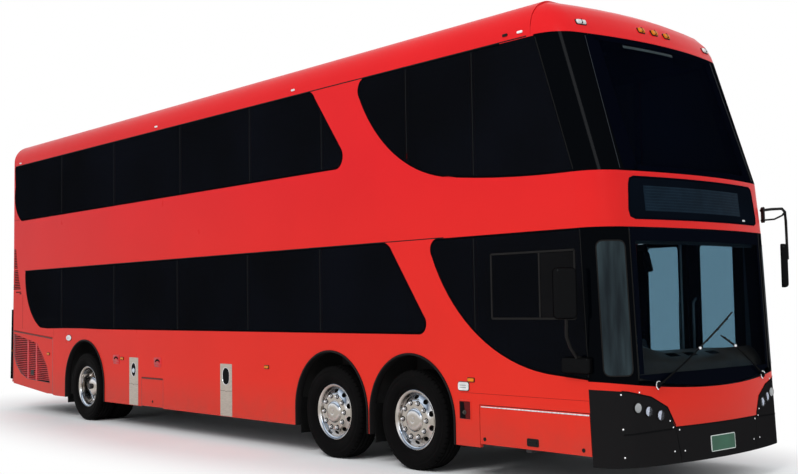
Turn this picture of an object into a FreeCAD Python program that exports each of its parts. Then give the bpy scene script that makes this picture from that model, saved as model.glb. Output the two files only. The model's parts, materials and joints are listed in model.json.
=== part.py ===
"""Three-axle double-decker bus with two steered front axles and a twin-wheeled rear axle.

Frame: millimetres, +X forward, +Y to the kerb (left) side, +Z up. The origin is on the ground,
midway along and across the vehicle. Every sub-part is written to parts/NODE.step.
"""
import FreeCAD, Part
import math
import os

# ---------------------------------------------------------------- driving dimensions
HALF_LENGTH = 6275.0
HALF_WIDTH = 1250.0
HEIGHT = 4250.0
SKIRT_Z = 300.0
GUTTER_Z = 3905.0            # seam between the side walls and the roof
BELT_Z = 2200.0              # top of the lower windows
BASE_Z = 250.0               # lower edge of the front bumper
REAR_BASE_Z = 440.0          # lower edge of the rear
WALL_T = 40.0                # thickness of the body panels on their frames
GLASS_T = 8.0
FLAP_GAP = 6.0               # clearance all round a door or flap
SEAM = 3.0                   # gap between panels of the roof and of the bumper

AXLE_X = {"1": 3648.0, "2": 2385.0}   # the two steered axles
REAR_AXLE_X = -3410.0
TYRE_R = 478.5
TYRE_W = 275.0
HUB_Z = TYRE_R
RIM_R = 286.0
RIM_W = 210.0
WHEEL_Y = 1097.0             # middle of a front tyre and of the outer rear one
TWIN_PITCH = 310.0
KINGPIN_Y = 900.0
KINGPIN_R = 22.0
SPINDLE_R = 40.0
RUNNING_GAP = 0.05           # radial clearance of every pin in its bore
WHEEL_FLATS = 20             # sides of the wheels' rings
BORE_END_Y = 1190.0

FRONT_R = 4500.0             # bow of the front in plan
CORNER_R = 300.0             # vertical corners, front and rear
FRONT_RAKE = ((250.0, 0.0), (2200.0, 88.0), (2670.0, 134.0), (3905.0, 536.0), (4250.0, 664.0))
REAR_LEAN = 0.023
ROOF_EDGE_R = 280.0
ROOF_EDGE_STEPS = 4
ROOF_SEAM_X = 5295.0
REAR_SEAM_X = -5990.0
INNER_CHORDS = 4             # flats that the inside of a curved panel is made of, per arc
WINDOW_CHORDS = 5            # flats in each curve of a window's edge

FLOOR_Z = 380.0
REAR_FLOOR_Z = 950.0
CAB_FLOOR_Z = 700.0          # driver's platform
FLOOR_T = 40.0
ENGINE_TOP_Z = 1300.0
UPPER_FLOOR_Z = 2310.0
STEP_X = -2380.0             # where the lower floor steps up
BULKHEAD_X = -4480.0
INNER_Y = HALF_WIDTH - WALL_T

ARCH_FRONT = (607.0, 499.0)  # radius and centre height of the wheel arches
ARCH_REAR = (617.0, 520.0)
ARCH_CHORDS = 18
HOUSING_INNER_Y = 595.0
HOUSING_TOP_REAR = 1165.0
BAY_HALF = 628.0             # half lengths of the front and rear wheel bays
REAR_BAY_HALF = 640.0
SHEET = 5.0

DOOR_X = (4500.0, 5135.0, 5770.0)     # rear post, meeting edges and front post of the entrance
DOOR_Z = (385.0, 2180.0)
DOOR_T = 36.0


# ---------------------------------------------------------------- geometry helpers
def vec(x, y, z):
    return FreeCAD.Vector(x, y, z)


def box(x0, x1, y0, y1, z0, z1):
    return Part.makeBox(x1 - x0, y1 - y0, z1 - z0, vec(x0, y0, z0))


def cylinder(radius, length, base, direction):
    return Part.makeCylinder(radius, length, base, direction)


def outline(start, steps, place, chords=0):
    """Closed wire from 2-D steps: a pair is a line's end, a pair of pairs an arc's middle and end.

    With chords, each arc is drawn as that many equal chords.
    """
    edges = []
    here = place(start)
    for step in list(steps) + [start]:
        is_arc = isinstance(step[0], tuple)
        end = place(step[1] if is_arc else step)
        arc = Part.Arc(here, place(step[0]), end).toShape() if is_arc else None
        if arc and not chords:
            edges.append(arc)
        elif arc:
            points = arc.discretize(chords + 1)
            edges += [Part.makeLine(a, b) for a, b in zip(points, points[1:])]
        elif here.distanceToPoint(end) > 1e-6:
            edges.append(Part.makeLine(here, end))
        here = end
    return Part.Wire(edges)


def prism_y(start, steps, y0, y1, chords=0):
    """Outline in the XZ plane, extruded along Y."""
    wire = outline(start, steps, lambda p: vec(p[0], y0, p[1]), chords)
    return Part.Face(wire).extrude(vec(0, y1 - y0, 0))


def prism_x(start, steps, x0, x1, chords=0):
    """Outline in the YZ plane, extruded along X."""
    wire = outline(start, steps, lambda p: vec(x0, p[0], p[1]), chords)
    return Part.Face(wire).extrude(vec(x1 - x0, 0, 0))


def flats(radius, length, centre, axis, count=20):
    """Short many-sided bar about its middle."""
    start = centre - axis * (length / 2)
    arm = axis.cross(vec(0, 1, 0)).normalize() * radius
    turns = [FreeCAD.Rotation(axis, 360.0 * (k + 0.5) / count) for k in range(count + 1)]
    return Part.Face(Part.makePolygon([start + turn.multVec(arm) for turn in turns])).extrude(axis * length)


def mirror_y(shape):
    return shape.mirror(vec(0, 0, 0), vec(0, 1, 0))


def both_sides(shapes):
    shapes = list(shapes)
    return shapes + [mirror_y(s) for s in shapes]


def fused(shapes):
    shapes = list(shapes)
    return shapes[0].multiFuse(shapes[1:]).removeSplitter()


def compound(shapes):
    solids = [s for shape in shapes for s in shape.Solids]
    return Part.makeCompound(solids)


# ---------------------------------------------------------------- outer form of the body
def front_setback(z):
    """How far the front has leaned back at height z."""
    for (z0, s0), (z1, s1) in zip(FRONT_RAKE, FRONT_RAKE[1:]):
        if z <= z1:
            return s0 + (s1 - s0) * (z - z0) / (z1 - z0)
    return s1


def bow_point_x(y, z, lift):
    """Point of the bowed front at y and z, lifted off it."""
    return HALF_LENGTH - FRONT_R - front_setback(z) + math.sqrt(FRONT_R ** 2 - y ** 2) + lift


def front_plan(z, inset, back_x):
    """Plan face of the front at height z: bowed front, rounded corners, straight sides to back_x."""
    centre_y = HALF_WIDTH - CORNER_R
    reach = math.sqrt((FRONT_R - CORNER_R) ** 2 - centre_y ** 2)
    bow_x = HALF_LENGTH - FRONT_R - front_setback(z)
    corner_x = bow_x + reach
    bow_r = FRONT_R - inset
    corner_r = CORNER_R - inset
    start = math.atan2(centre_y, reach)
    middle = (start + math.pi / 2) / 2
    meet = (bow_x + bow_r * math.cos(start), bow_r * math.sin(start))
    mid = (corner_x + corner_r * math.cos(middle), centre_y + corner_r * math.sin(middle))
    side = HALF_WIDTH - inset

    def flip(p):
        return (p[0], -p[1])

    steps = [(corner_x, side), (mid, meet), ((bow_x + bow_r, 0.0), flip(meet)),
             (flip(mid), (corner_x, -side)), (back_x, -side)]
    chords = INNER_CHORDS if inset else 0
    return Part.Face(outline((back_x, side), steps, lambda p: vec(p[0], p[1], z), chords))


def rear_plan(z, inset, front_x):
    """Plan face of the rear at height z: flat rear, rounded corners, straight sides to front_x."""
    rear = -HALF_LENGTH + REAR_LEAN * (z - REAR_BASE_Z)
    corner_x = rear + CORNER_R
    centre_y = HALF_WIDTH - CORNER_R
    corner_r = CORNER_R - inset
    half = corner_r * math.sqrt(0.5)
    side = HALF_WIDTH - inset
    steps = [(corner_x, side), ((corner_x - half, centre_y + half), (rear + inset, centre_y)),
             (rear + inset, -centre_y), ((corner_x - half, -centre_y - half), (corner_x, -side)),
             (front_x, -side)]
    chords = INNER_CHORDS if inset else 0
    return Part.Face(outline((front_x, side), steps, lambda p: vec(p[0], p[1], z), chords))


def leaning_prism(plan, foot, z0, z1, setback):
    """Plan face drawn up square to itself and leaned back about a line across the vehicle at foot."""
    spare = 400.0
    block = plan.extrude(vec(0, 0, z1 - z0 + 2 * spare))
    block.translate(vec(0, 0, -spare))
    angle = math.degrees(math.atan(setback / (z1 - z0)))
    block.rotate(vec(foot, 0, z0), vec(0, 1, 0), -angle)
    return block.common(box(-7000, 7000, -1400, 1400, z0, z1))


def front_zone(number, inset, back_x):
    """One straight-leaning zone of the front, between two heights of FRONT_RAKE."""
    (z0, s0), (z1, s1) = FRONT_RAKE[number:number + 2]
    plan = front_plan(z0, inset, back_x)
    if s1 - s0 > 0.2 * (z1 - z0):
        return plan.extrude(vec(s0 - s1, 0, z1 - z0))
    return leaning_prism(plan, HALF_LENGTH - s0, z0, z1, s1 - s0)


def front_skin(number, depth):
    """Outer layer of a zone of the front, ahead of the joint with the sides."""
    (z0, s0), (z1, s1) = FRONT_RAKE[number:number + 2]
    shell = front_zone(number, 0.0, 4000.0).cut(front_zone(number, depth, 3000.0))
    back = [(side_edge_x(z0), z0), (side_edge_x(z1), z1)]
    return shell.common(prism_y(back[0], [back[1], (7000, z1), (7000, z0)], -1400, 1400))


def rear_skin(depth):
    """Outer layer of the rear below the gutter."""
    z0, z1 = REAR_BASE_Z, GUTTER_Z
    setback = -REAR_LEAN * (z1 - z0)
    outer = leaning_prism(rear_plan(z0, 0.0, -5000.0), -HALF_LENGTH, z0, z1, setback)
    inner = leaning_prism(rear_plan(z0, depth, -4000.0), -HALF_LENGTH, z0, z1, setback)
    return outer.cut(inner)


def side_edge_x(z):
    """Where the flat side ends and the front corner begins."""
    reach = math.sqrt((FRONT_R - CORNER_R) ** 2 - (HALF_WIDTH - CORNER_R) ** 2)
    return HALF_LENGTH - FRONT_R + reach - front_setback(z)


def side_zone():
    """Everything behind the joint between the sides and the front corners, up to the gutter."""
    edge = [(side_edge_x(z), z) for z, _ in FRONT_RAKE[:4]]
    return prism_y((-7000, BASE_Z), edge + [(-7000, GUTTER_Z)], -1400, 1400)


# ---------------------------------------------------------------- window outlines, seen from the side
UPPER_REAR_GLASS = ((-5675.0, 3015.0), [(2525.0, 3020.0), ((2615.0, 3075.0), (2608.0, 3217.0)),
                    (2158.0, 3817.0), ((2110.0, 3875.0), (2025.0, 3900.0)), (-5900.0, 3900.0),
                    ((-5935.0, 3885.0), (-5950.0, 3850.0)), (-5925.0, 3570.0),
                    ((-5850.0, 3140.0), (-5675.0, 3015.0))])
UPPER_REAR_DIVIDERS = (-4195.0, -2505.0, -695.0, 895.0, 2275.0)
UPPER_FRONT_GLASS = ((3005.0, 3895.0), [((2925.0, 3830.0), (2925.0, 3730.0)),
                     ((3428.0, 3106.0), (4246.0, 2773.0)), ((5150.0, 2695.0), (6300.0, 2675.0)),
                     (6300.0, 3895.0)])
UPPER_FRONT_DIVIDERS = (3649.0, 4564.0)
LOWER_REAR_GLASS = ((-4940.0, 1320.0), [(-4700.0, 1310.0), (3792.0, 1309.0),
                    ((3865.0, 1350.0), (3852.0, 1470.0)), (3398.0, 2106.0),
                    ((3340.0, 2170.0), (3246.0, 2195.0)), (-5525.0, 2195.0), (-5525.0, 2130.0),
                    ((-5340.0, 1600.0), (-4940.0, 1320.0))])
LOWER_REAR_DIVIDERS = (-4195.0, -2505.0, -775.0, 835.0, 2225.0)
DRIVER_GLASS = ((4080.0, 2190.0), [((3995.0, 2160.0), (3989.0, 2045.0)),
                ((4731.0, 1212.0), (5489.0, 985.0)), (6300.0, 930.0), (6300.0, 2190.0)])
DRIVER_DIVIDERS = (4545.0,)
BANDS = ((UPPER_REAR_GLASS, UPPER_REAR_DIVIDERS), (UPPER_FRONT_GLASS, UPPER_FRONT_DIVIDERS),
         (LOWER_REAR_GLASS, LOWER_REAR_DIVIDERS), (DRIVER_GLASS, DRIVER_DIVIDERS))
DIVIDER_W = 10.0
POST_W = 70.0

LOCKER_X = 4585.0                    # rear edge of the front locker flap on the driver's side
LOCKER_Z = (333.0, 676.0)
SMALL_LOCKER_X = (-1705.0, -1145.0)
SMALL_LOCKER_Z = (310.0, 677.0)
ENGINE_DOOR = ((-4490.0, 318.0), (-4490.0, 1166.0), (-5985.0, 1268.0), (-5985.0, 420.0), (-4700.0, 318.0))


def dividers(xs, width, y0, y1):
    return [box(x - width / 2, x + width / 2, y0, y1, 900, 4000) for x in xs]


def side_glass(bands):
    """Flush panes on the driver's side, divided by narrow joints."""
    zone = side_zone()
    panes = []
    for (start, steps), xs in bands:
        band = prism_y(start, steps, -HALF_WIDTH, -HALF_WIDTH + GLASS_T, WINDOW_CHORDS)
        panes.append(band.common(zone).cut(compound(dividers(xs, DIVIDER_W, -1300, -1200))))
    return compound(panes)


def window_cutters(bands):
    """Openings through the wall, with the posts behind the joints between the panes left standing."""
    cutters = []
    for (start, steps), xs in bands:
        opening = prism_y(start, steps, -HALF_WIDTH - 20, -HALF_WIDTH + WALL_T + 20, WINDOW_CHORDS)
        posts = dividers(xs, POST_W, -HALF_WIDTH + GLASS_T, -HALF_WIDTH + WALL_T + 20)
        cutters.append(opening.cut(compound(posts)))
    return cutters


def arch_cutter(x, radius, centre_z):
    steps = [(x - radius, centre_z), ((x, centre_z + radius), (x + radius, centre_z)), (x + radius, 0.0)]
    return prism_y((x - radius, 0.0), steps, -1300, -1100, ARCH_CHORDS)


def side_blank():
    """Flat side panel from the skirt to the gutter, with its upswept rear skirt."""
    steps = [(REAR_SEAM_X, 460.0), (-4400.0, SKIRT_Z), (7000.0, SKIRT_Z), (7000.0, GUTTER_Z)]
    slab = prism_y((REAR_SEAM_X, GUTTER_Z), steps, -HALF_WIDTH, -HALF_WIDTH + WALL_T)
    return slab.common(side_zone())


def engine_door_blank(gap):
    """Rear side door outline, under its slanted hinge line."""
    (x0, z0), (x1, z1), (x2, z2), (x3, z3), (x4, z4) = ENGINE_DOOR
    steps = [(x1 - gap, z1 - gap), (x2 + gap, z2 - gap), (x3 + gap, z3), (x4, z4)]
    return prism_y((x0 - gap, z0), steps, -HALF_WIDTH - 10, -HALF_WIDTH + WALL_T + 10)


def wall_openings():
    cutters = [arch_cutter(x, *ARCH_FRONT) for x in AXLE_X.values()]
    cutters.append(arch_cutter(REAR_AXLE_X, *ARCH_REAR))
    (x0, _), (_, z1), (x2, z2), _, _ = ENGINE_DOOR
    steps = [(x0, z1), (x2, z2), (x2 - 100, z2), (x2 - 100, 0)]
    cutters.append(prism_y((x0, 0), steps, -1300, -1100))
    return cutters


def right_side_wall():
    cutters = window_cutters(BANDS) + wall_openings()
    cutters.append(box(LOCKER_X - FLAP_GAP, 7000, -1300, -1100, 0, LOCKER_Z[1] + FLAP_GAP))
    cutters.append(box(SMALL_LOCKER_X[0] - FLAP_GAP, SMALL_LOCKER_X[1] + FLAP_GAP, -1300, -1100,
                       0, SMALL_LOCKER_Z[1] + FLAP_GAP))
    return side_blank().cut(compound(cutters))


def left_side_wall():
    cutters = window_cutters(BANDS[:3]) + wall_openings()
    cutters.append(box(DOOR_X[0], DOOR_X[2], -1300, -1100, DOOR_Z[0], DOOR_Z[1]))
    return mirror_y(side_blank().cut(compound(cutters)))


def left_windows():
    return mirror_y(side_glass(BANDS[:3]))


def right_windows():
    return side_glass(BANDS)


# ---------------------------------------------------------------- front of the body
SCREEN_Y = 865.0             # joint between the screens and the corner panels
LOWER_SCREEN_Y = 975.0


def across(z_side, z_mid, far_z):
    """Region of the front view between a bowed edge and far_z."""
    side = 1400.0
    steps = [((0.0, z_mid), (side, z_side)), (side, far_z), (-side, far_z)]
    return prism_x((-side, z_side), steps, 4000, 7000)


def front_pieces():
    """Panels and panes ahead of the sides, each cut from the zone of the front that it lies in."""
    lower = across(960.0, 850.0, BELT_Z)
    low, belt, high = front_skin(0, WALL_T), front_skin(1, WALL_T), front_skin(2, WALL_T)
    low_glass, belt_glass, high_glass = [front_skin(i, GLASS_T) for i in range(3)]
    nodes = {}
    nodes["upper_windscreen"] = high_glass.common(middle(SCREEN_Y))
    nodes["lower_windscreen"] = low_glass.common(lower).common(middle(LOWER_SCREEN_Y))
    pillars = [high.cut(middle(SCREEN_Y)), low.common(lower).cut(middle(LOWER_SCREEN_Y))]
    nodes["corner_pillars"] = compound(pillars)
    sign = sign_outline()
    nodes["front_band"] = belt.cut(sign)
    nodes["destination_sign"] = belt_glass.common(sign)
    low_panel = low.cut(lower)
    black = low_panel.common(bumper_zone())
    nodes["front_panel"] = low_panel.cut(bumper_zone())
    nodes["front_bumper"] = compound([black.common(bumper_middle(0.0)), black.cut(bumper_middle(SEAM))])
    return nodes


def middle(half_width):
    return box(4000, 7000, -half_width, half_width, 0, 5000)


def sign_outline():
    """Opening of the destination sign, a little wider at its foot."""
    half = [(895.0, 2272.0), (940.0, 2290.0), (950.0, 2340.0), (925.0, 2560.0), (910.0, 2603.0), (870.0, 2620.0)]
    return prism_x(half[0], half[1:] + [(-y, z) for y, z in reversed(half)], 4000, 7000)


def bumper_middle(margin):
    """Middle section of the bumper, narrower at its foot."""
    foot, top = 556.0 + margin, 611.0 + margin
    return prism_x((foot, 200.0), [(top, 560.0), (-top, 560.0), (-foot, 200.0)], 4000, 7000)


def bumper_zone():
    """Front view of the black lower front: low in the middle, rising over the headlamps."""
    half = [(1400.0, 0.0), (1400.0, 890.0), (1084.0, 857.0), (860.0, 805.0), (690.0, 713.0), (611.0, 543.0)]
    return prism_x(half[0], half[1:] + [(-y, z) for y, z in reversed(half)], 4000, 7000)


def headlamps():
    """Three round lamps a side, standing just proud of the curve of their module."""
    lamps = []
    for y, z in ((1003.0, 725.0), (892.0, 690.0), (768.0, 652.0)):
        lamps.append(flats(43.0, 40.0, vec(bow_point_x(y, z, -8.0), y, z), vec(1, 0, 0), 8))
    solid = front_zone(0, 0.0, 5000.0)
    return compound([lamp.cut(solid) for lamp in both_sides(lamps)])


# ---------------------------------------------------------------- roof and rear of the body
def arc_points(centre, radius, start, end, count):
    angles = [math.radians(start + (end - start) * k / count) for k in range(count + 1)]
    return [(centre[0] + radius * math.cos(a), centre[1] + radius * math.sin(a)) for a in angles]


def front_edge_ring(z, inset, setback):
    """Plan corners of the roof's front edge at height z, from the left side round to the right."""
    centre_y = HALF_WIDTH - CORNER_R
    reach = math.sqrt((FRONT_R - CORNER_R) ** 2 - centre_y ** 2)
    bow_x = HALF_LENGTH - FRONT_R - setback
    start = math.degrees(math.atan2(centre_y, reach))
    left = arc_points((bow_x + reach, centre_y), CORNER_R - inset, 90.0, start, 6)
    bow = arc_points((bow_x, 0.0), FRONT_R - inset, start, 0.0, 4)
    half = [(4000.0, HALF_WIDTH - inset)] + left + bow[1:]
    return [vec(x, y, z) for x, y in half + [(x, -y) for x, y in reversed(half[:-1])]]


def rear_edge_ring(z, inset, setback):
    """Plan corners of the roof's rear edge at height z."""
    rear = -HALF_LENGTH + setback + CORNER_R
    corner = arc_points((rear, HALF_WIDTH - CORNER_R), CORNER_R - inset, 90.0, 180.0, 6)
    half = [(-4000.0, HALF_WIDTH - inset)] + corner
    return [vec(x, y, z) for x, y in half + [(x, -y) for x, y in reversed(half)]]


def faceted(rings):
    """Solid with flat facets between stacked rings of corners, closed at its foot and top."""
    faces = [Part.Face(Part.makePolygon(ring + ring[:1])) for ring in (rings[0], rings[-1])]
    for low, high in zip(rings, rings[1:]):
        for k in range(len(low)):
            a, b, c, d = low[k - 1], low[k], high[k], high[k - 1]
            faces.append(Part.Face(Part.makePolygon([a, b, c, a])))
            faces.append(Part.Face(Part.makePolygon([a, c, d, a])))
    solid = Part.Solid(Part.Shell(faces))
    if solid.Volume < 0:
        solid.reverse()
    return solid.removeSplitter()


def domed(edge_ring, setback, lean):
    """End of the roof, its edge rounded all the way round."""
    rise = HEIGHT - GUTTER_Z
    rings = []
    for k in range(ROOF_EDGE_STEPS + 1):
        a = math.pi / 2 * k / ROOF_EDGE_STEPS
        straight = rise - ROOF_EDGE_R
        z = GUTTER_Z + straight + ROOF_EDGE_R * math.sin(a)
        rings.append(edge_ring(z, ROOF_EDGE_R * (1 - math.cos(a)), setback + lean * (z - GUTTER_Z) / rise))
    return faceted([edge_ring(GUTTER_Z, 0.0, setback)] + rings)


def roof_hollow(x0, x1):
    """Space under the roof: flat ceiling with chamfered coves."""
    side = HALF_WIDTH - WALL_T
    cove = HALF_WIDTH - ROOF_EDGE_R
    half = [(side, GUTTER_Z - 10), (side, GUTTER_Z + 90), (cove, HEIGHT - WALL_T)]
    other = [(-y, z) for y, z in reversed(half)]
    return prism_x(half[0], half[1:] + other, x0, x1)


def roof():
    """Roof in three panels: front cap, long middle and rear cap."""
    lean = FRONT_RAKE[4][1] - FRONT_RAKE[3][1]
    front = domed(front_edge_ring, FRONT_RAKE[3][1], lean)
    front = front.common(box(ROOF_SEAM_X + SEAM, 7000, -1400, 1400, 3000, 5000))
    hollow = roof_hollow(4000.0, 5300.0).fuse(box(4000, 5500, -850, 850, GUTTER_Z - 10, 4080))
    rise = HEIGHT - GUTTER_Z
    rear = domed(rear_edge_ring, REAR_LEAN * (GUTTER_Z - REAR_BASE_Z), REAR_LEAN * rise)
    rear = rear.common(box(-7000, REAR_SEAM_X - SEAM, -1400, 1400, 3000, 5000))
    long_panel = roof_middle(REAR_SEAM_X, ROOF_SEAM_X)
    return compound([front.cut(hollow), long_panel, rear.cut(roof_hollow(-5950.0, -4000.0))])


def roof_middle(x0, x1):
    """Long part of the roof with round edges and a flat ceiling."""
    side, flat = HALF_WIDTH, HALF_WIDTH - ROOF_EDGE_R
    drop = HEIGHT - ROOF_EDGE_R
    k = ROOF_EDGE_R * math.sqrt(0.5)
    steps = [(side, drop), ((flat + k, drop + k), (flat, HEIGHT)), (-flat, HEIGHT),
             ((-flat - k, drop + k), (-side, drop)), (-side, GUTTER_Z)]
    return prism_x((side, GUTTER_Z), steps, x0, x1).cut(roof_hollow(x0 - 100, x1 + 100))


REAR_DOOR = (-930.0, 930.0, 470.0, 1420.0)
REAR_GLASS = (-880.0, 880.0, 2950.0, 3750.0)


def rear_box(extents, margin):
    """Block through the rear wall over y0, y1, z0, z1, widened by a margin."""
    y0, y1, z0, z1 = extents
    return box(-7000, -5900, y0 - margin, y1 + margin, z0 - margin, z1 + margin)


def rear_pieces():
    skin = rear_skin(WALL_T)
    glass = rear_skin(GLASS_T)
    zone = box(-7000, REAR_SEAM_X, -1400, 1400, REAR_BASE_Z, GUTTER_Z)
    door = rear_box(REAR_DOOR, 0.0)
    door_gap = rear_box(REAR_DOOR, FLAP_GAP)
    pane = rear_box(REAR_GLASS, 0.0)
    nodes = {}
    lamps = []
    for s in (1, -1):
        y0, y1 = sorted((s * 1010.0, s * 1400.0))
        lamps.append(box(-7000, -6050, y0, y1, 467, 1607))
    nodes["tail_lamps"] = compound([skin.common(zone).common(lamp) for lamp in lamps])
    nodes["rear_wall"] = skin.common(zone).cut(compound([door_gap, pane] + lamps))
    nodes["rear_engine_door"] = skin.common(zone).common(door)
    nodes["rear_window"] = glass.common(pane)
    return nodes


def engine_side_door():
    """Rear side door with its grille opening and louvre slats, driver's side."""
    blank = engine_door_blank(FLAP_GAP).common(box(-7000, 7000, -HALF_WIDTH, -HALF_WIDTH + 28, 0, 5000))
    opening = prism_y((-5955.0, 1204.0), [(-5075.0, 1067.0), (-4875.0, 900.0), (-4708.0, 733.0), (-4590.0, 480.0),
                      (-5300.0, 505.0), (-5442.0, 517.0), (-5675.0, 583.0), (-5875.0, 733.0), (-5955.0, 850.0)],
                      -1300, -1100)
    bars = [box(x, x + 50, -1248, -1224, 0, 2000) for x in (-5442.0, -5125.0)]
    bars += [box(-6000, -4500, -1242, -1228, z, z + 20) for z in range(560, 1190, 100)]
    return fused([blank.cut(opening)] + [bar.common(opening) for bar in bars])


# ---------------------------------------------------------------- wheels and axles
def ring(points, x, side, bore=0.0, count=WHEEL_FLATS):
    """Wheel part turned in flats about its axle from a (radius, y) outline; bore is a round hole."""
    def corner(k, r, y):
        angle = 2 * math.pi * (k + 0.5) / count
        reach = r / math.cos(math.pi / count)
        return vec(x + reach * math.sin(angle), side * y, HUB_Z - reach * math.cos(angle))

    faces = []
    closed = points + points[:1]
    for (r0, y0), (r1, y1) in zip(closed, closed[1:]):
        if r0 == 0.0 and r1 == 0.0:
            continue
        for k in range(count):
            corners = [corner(k, r0, y0), corner(k + 1, r0, y0), corner(k + 1, r1, y1), corner(k, r1, y1)]
            kept = [c for i, c in enumerate(corners) if c.distanceToPoint(corners[i - 1]) > 1e-6]
            faces.append(Part.Face(Part.makePolygon(kept + kept[:1])))
    solid = Part.Solid(Part.Shell(faces)).removeSplitter()
    if solid.Volume < 0:
        solid.reverse()
    if bore:
        solid = solid.cut(cylinder(bore, 2 * BORE_END_Y, vec(x, -BORE_END_Y, HUB_Z), vec(0, 1, 0)))
    return solid


def tyre(x, y, side):
    """Tyre with bulged walls and sloping shoulders, seated on its rim's barrel."""
    bead, wall = RIM_W / 2, TYRE_W / 2
    points = [(RIM_R, y - bead), (RIM_R, y + bead), (TYRE_R - 75.0, y + wall), (TYRE_R, y + wall - 24.0),
              (TYRE_R, y - wall + 24.0), (TYRE_R - 75.0, y - wall)]
    return ring(points, x, side)


def twin_tyres(side):
    return compound([tyre(REAR_AXLE_X, y, side) for y in (WHEEL_Y, WHEEL_Y - TWIN_PITCH)])


def front_rim(x, side):
    """Convex wheel: barrel, disc bulged to the outside and a capped hub that runs on the spindle."""
    inner, outer = WHEEL_Y - RIM_W / 2, WHEEL_Y + RIM_W / 2
    points = [(RIM_R, inner), (RIM_R, outer), (RIM_R - 30.0, outer - 12.0), (RIM_R - 42.0, outer - 46.0),
              (182.0, outer), (92.0, outer + 2.0), (84.0, outer + 32.0), (0.0, outer + 32.0),
              (0.0, inner + 8.0), (80.0, inner + 8.0), (80.0, outer - 66.0), (RIM_R - 18.0, outer - 74.0),
              (RIM_R - 18.0, inner)]
    return ring(points, x, side, SPINDLE_R + RUNNING_GAP)


def twin_rims(side):
    """Two dished wheels bolted back to back on one hub that runs on the axle's spindle."""
    inner = WHEEL_Y - TWIN_PITCH - RIM_W / 2
    outer = WHEEL_Y + RIM_W / 2
    points = [(RIM_R, inner), (RIM_R, outer), (RIM_R - 26.0, outer - 12.0), (RIM_R - 36.0, outer - 150.0),
              (118.0, outer - 152.0), (108.0, outer - 24.0), (0.0, outer - 18.0),
              (0.0, inner + 8.0), (104.0, inner + 8.0), (104.0, outer - 190.0), (RIM_R - 18.0, outer - 200.0),
              (RIM_R - 18.0, inner)]
    return ring(points, REAR_AXLE_X, side, SPINDLE_R + RUNNING_GAP)


def knuckle(x, side):
    """Forked steering knuckle: its kingpin turns in the eye of the axle beam, its spindle carries the hub."""
    fork = prism_y((x - 55.0, 359.0), [(x + 55.0, 359.0), (x + 55.0, 571.0), (x - 55.0, 571.0)],
                   KINGPIN_Y - 40, KINGPIN_Y + 88)
    fork = fork.cut(box(x - 60, x + 60, KINGPIN_Y - 50, KINGPIN_Y + 62, 399, 531))
    kingpin = cylinder(KINGPIN_R, 150.0, vec(x, KINGPIN_Y, 390), vec(0, 0, 1))
    spindle = cylinder(SPINDLE_R, 80.0, vec(x, KINGPIN_Y + 80, HUB_Z), vec(0, 1, 0))
    arm = box(x - 210, x - 50, KINGPIN_Y - 40, KINGPIN_Y + 10, 360, 385)
    body = fused([fork, kingpin, spindle, arm])
    return body if side > 0 else mirror_y(body)


def front_axle(x):
    """Dropped beam under the low floor, with an eye for the kingpin in each end."""
    end = KINGPIN_Y + 34.0
    half = [(575.0, 165.0), (745.0, 405.0), (end, 405.0), (end, 525.0), (680.0, 525.0), (612.0, 262.0)]
    other = [(-y, z) for y, z in reversed(half)]
    beam = prism_x(half[0], half[1:] + other, x - 45, x + 45)
    eyes = [cylinder(KINGPIN_R + RUNNING_GAP, 400.0, vec(x, y, 300), vec(0, 0, 1)) for y in (KINGPIN_Y, -KINGPIN_Y)]
    return beam.cut(compound(eyes))


def rear_axle():
    """Drive axle: a tube with the differential's bowl, spring saddles and the wheel spindles."""
    x = REAR_AXLE_X
    bowl = ring([(0.0, -150.0), (150.0, -150.0), (215.0, -70.0), (215.0, 70.0), (150.0, 150.0), (0.0, 150.0)],
                x, 1, count=16)
    tube = ring([(0.0, -640.0), (80.0, -640.0), (80.0, 640.0), (0.0, 640.0)], x, 1, count=12)
    spindles = cylinder(SPINDLE_R, 2 * BORE_END_Y - 12, vec(x, 6 - BORE_END_Y, HUB_Z), vec(0, 1, 0))
    saddles = both_sides([box(x - 480, x + 480, 430, 520, 330, 398), box(x - 60, x + 60, 430, 520, 398, 460)])
    return fused([bowl, tube, spindles] + saddles)


def bellows(x, y, z0, z1, radius):
    """Air spring of ten flats."""
    turns = [2 * math.pi * (k + 0.5) / 10 for k in range(11)]
    points = [vec(x + radius * math.cos(a), y + radius * math.sin(a), z0) for a in turns]
    return Part.Face(Part.makePolygon(points)).extrude(vec(0, 0, z1 - z0))


def air_springs():
    """Bellows between the axles and the frame."""
    springs = [bellows(x, 755, 525, 860, 68.0) for x in AXLE_X.values()]
    springs += [bellows(REAR_AXLE_X + dx, 475, 398, 620, 110.0) for dx in (-360, 360)]
    return compound(both_sides(springs))


# ---------------------------------------------------------------- chassis and inside
TOW_BORE_R = 14.0
RAIL_Y = (430.0, 510.0)
RAIL_Z = (265.0, 340.0)      # low rails, under the low floor
REAR_RAIL_Z = (620.0, 800.0)


def spring_tower(x):
    """Two arms out from the rail, a post on each and the plate that the air spring bears on."""
    members = [box(x - 100, x + 100, 600, 825, 860, 880)]
    for x0 in (x - 100, x + 60):
        members.append(box(x0, x0 + 40, RAIL_Y[1], 640, *RAIL_Z))
        members.append(box(x0, x0 + 40, 600, 640, RAIL_Z[0], 860))
    return fused(members)


def tow_eye():
    """Plate at the end of the rail with an upright bore for the tow bar's pin."""
    plate = box(5850, 6180, *RAIL_Y, 285, 325)
    return plate.cut(cylinder(TOW_BORE_R, 100, vec(6140, sum(RAIL_Y) / 2, 250), vec(0, 0, 1)))


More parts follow.
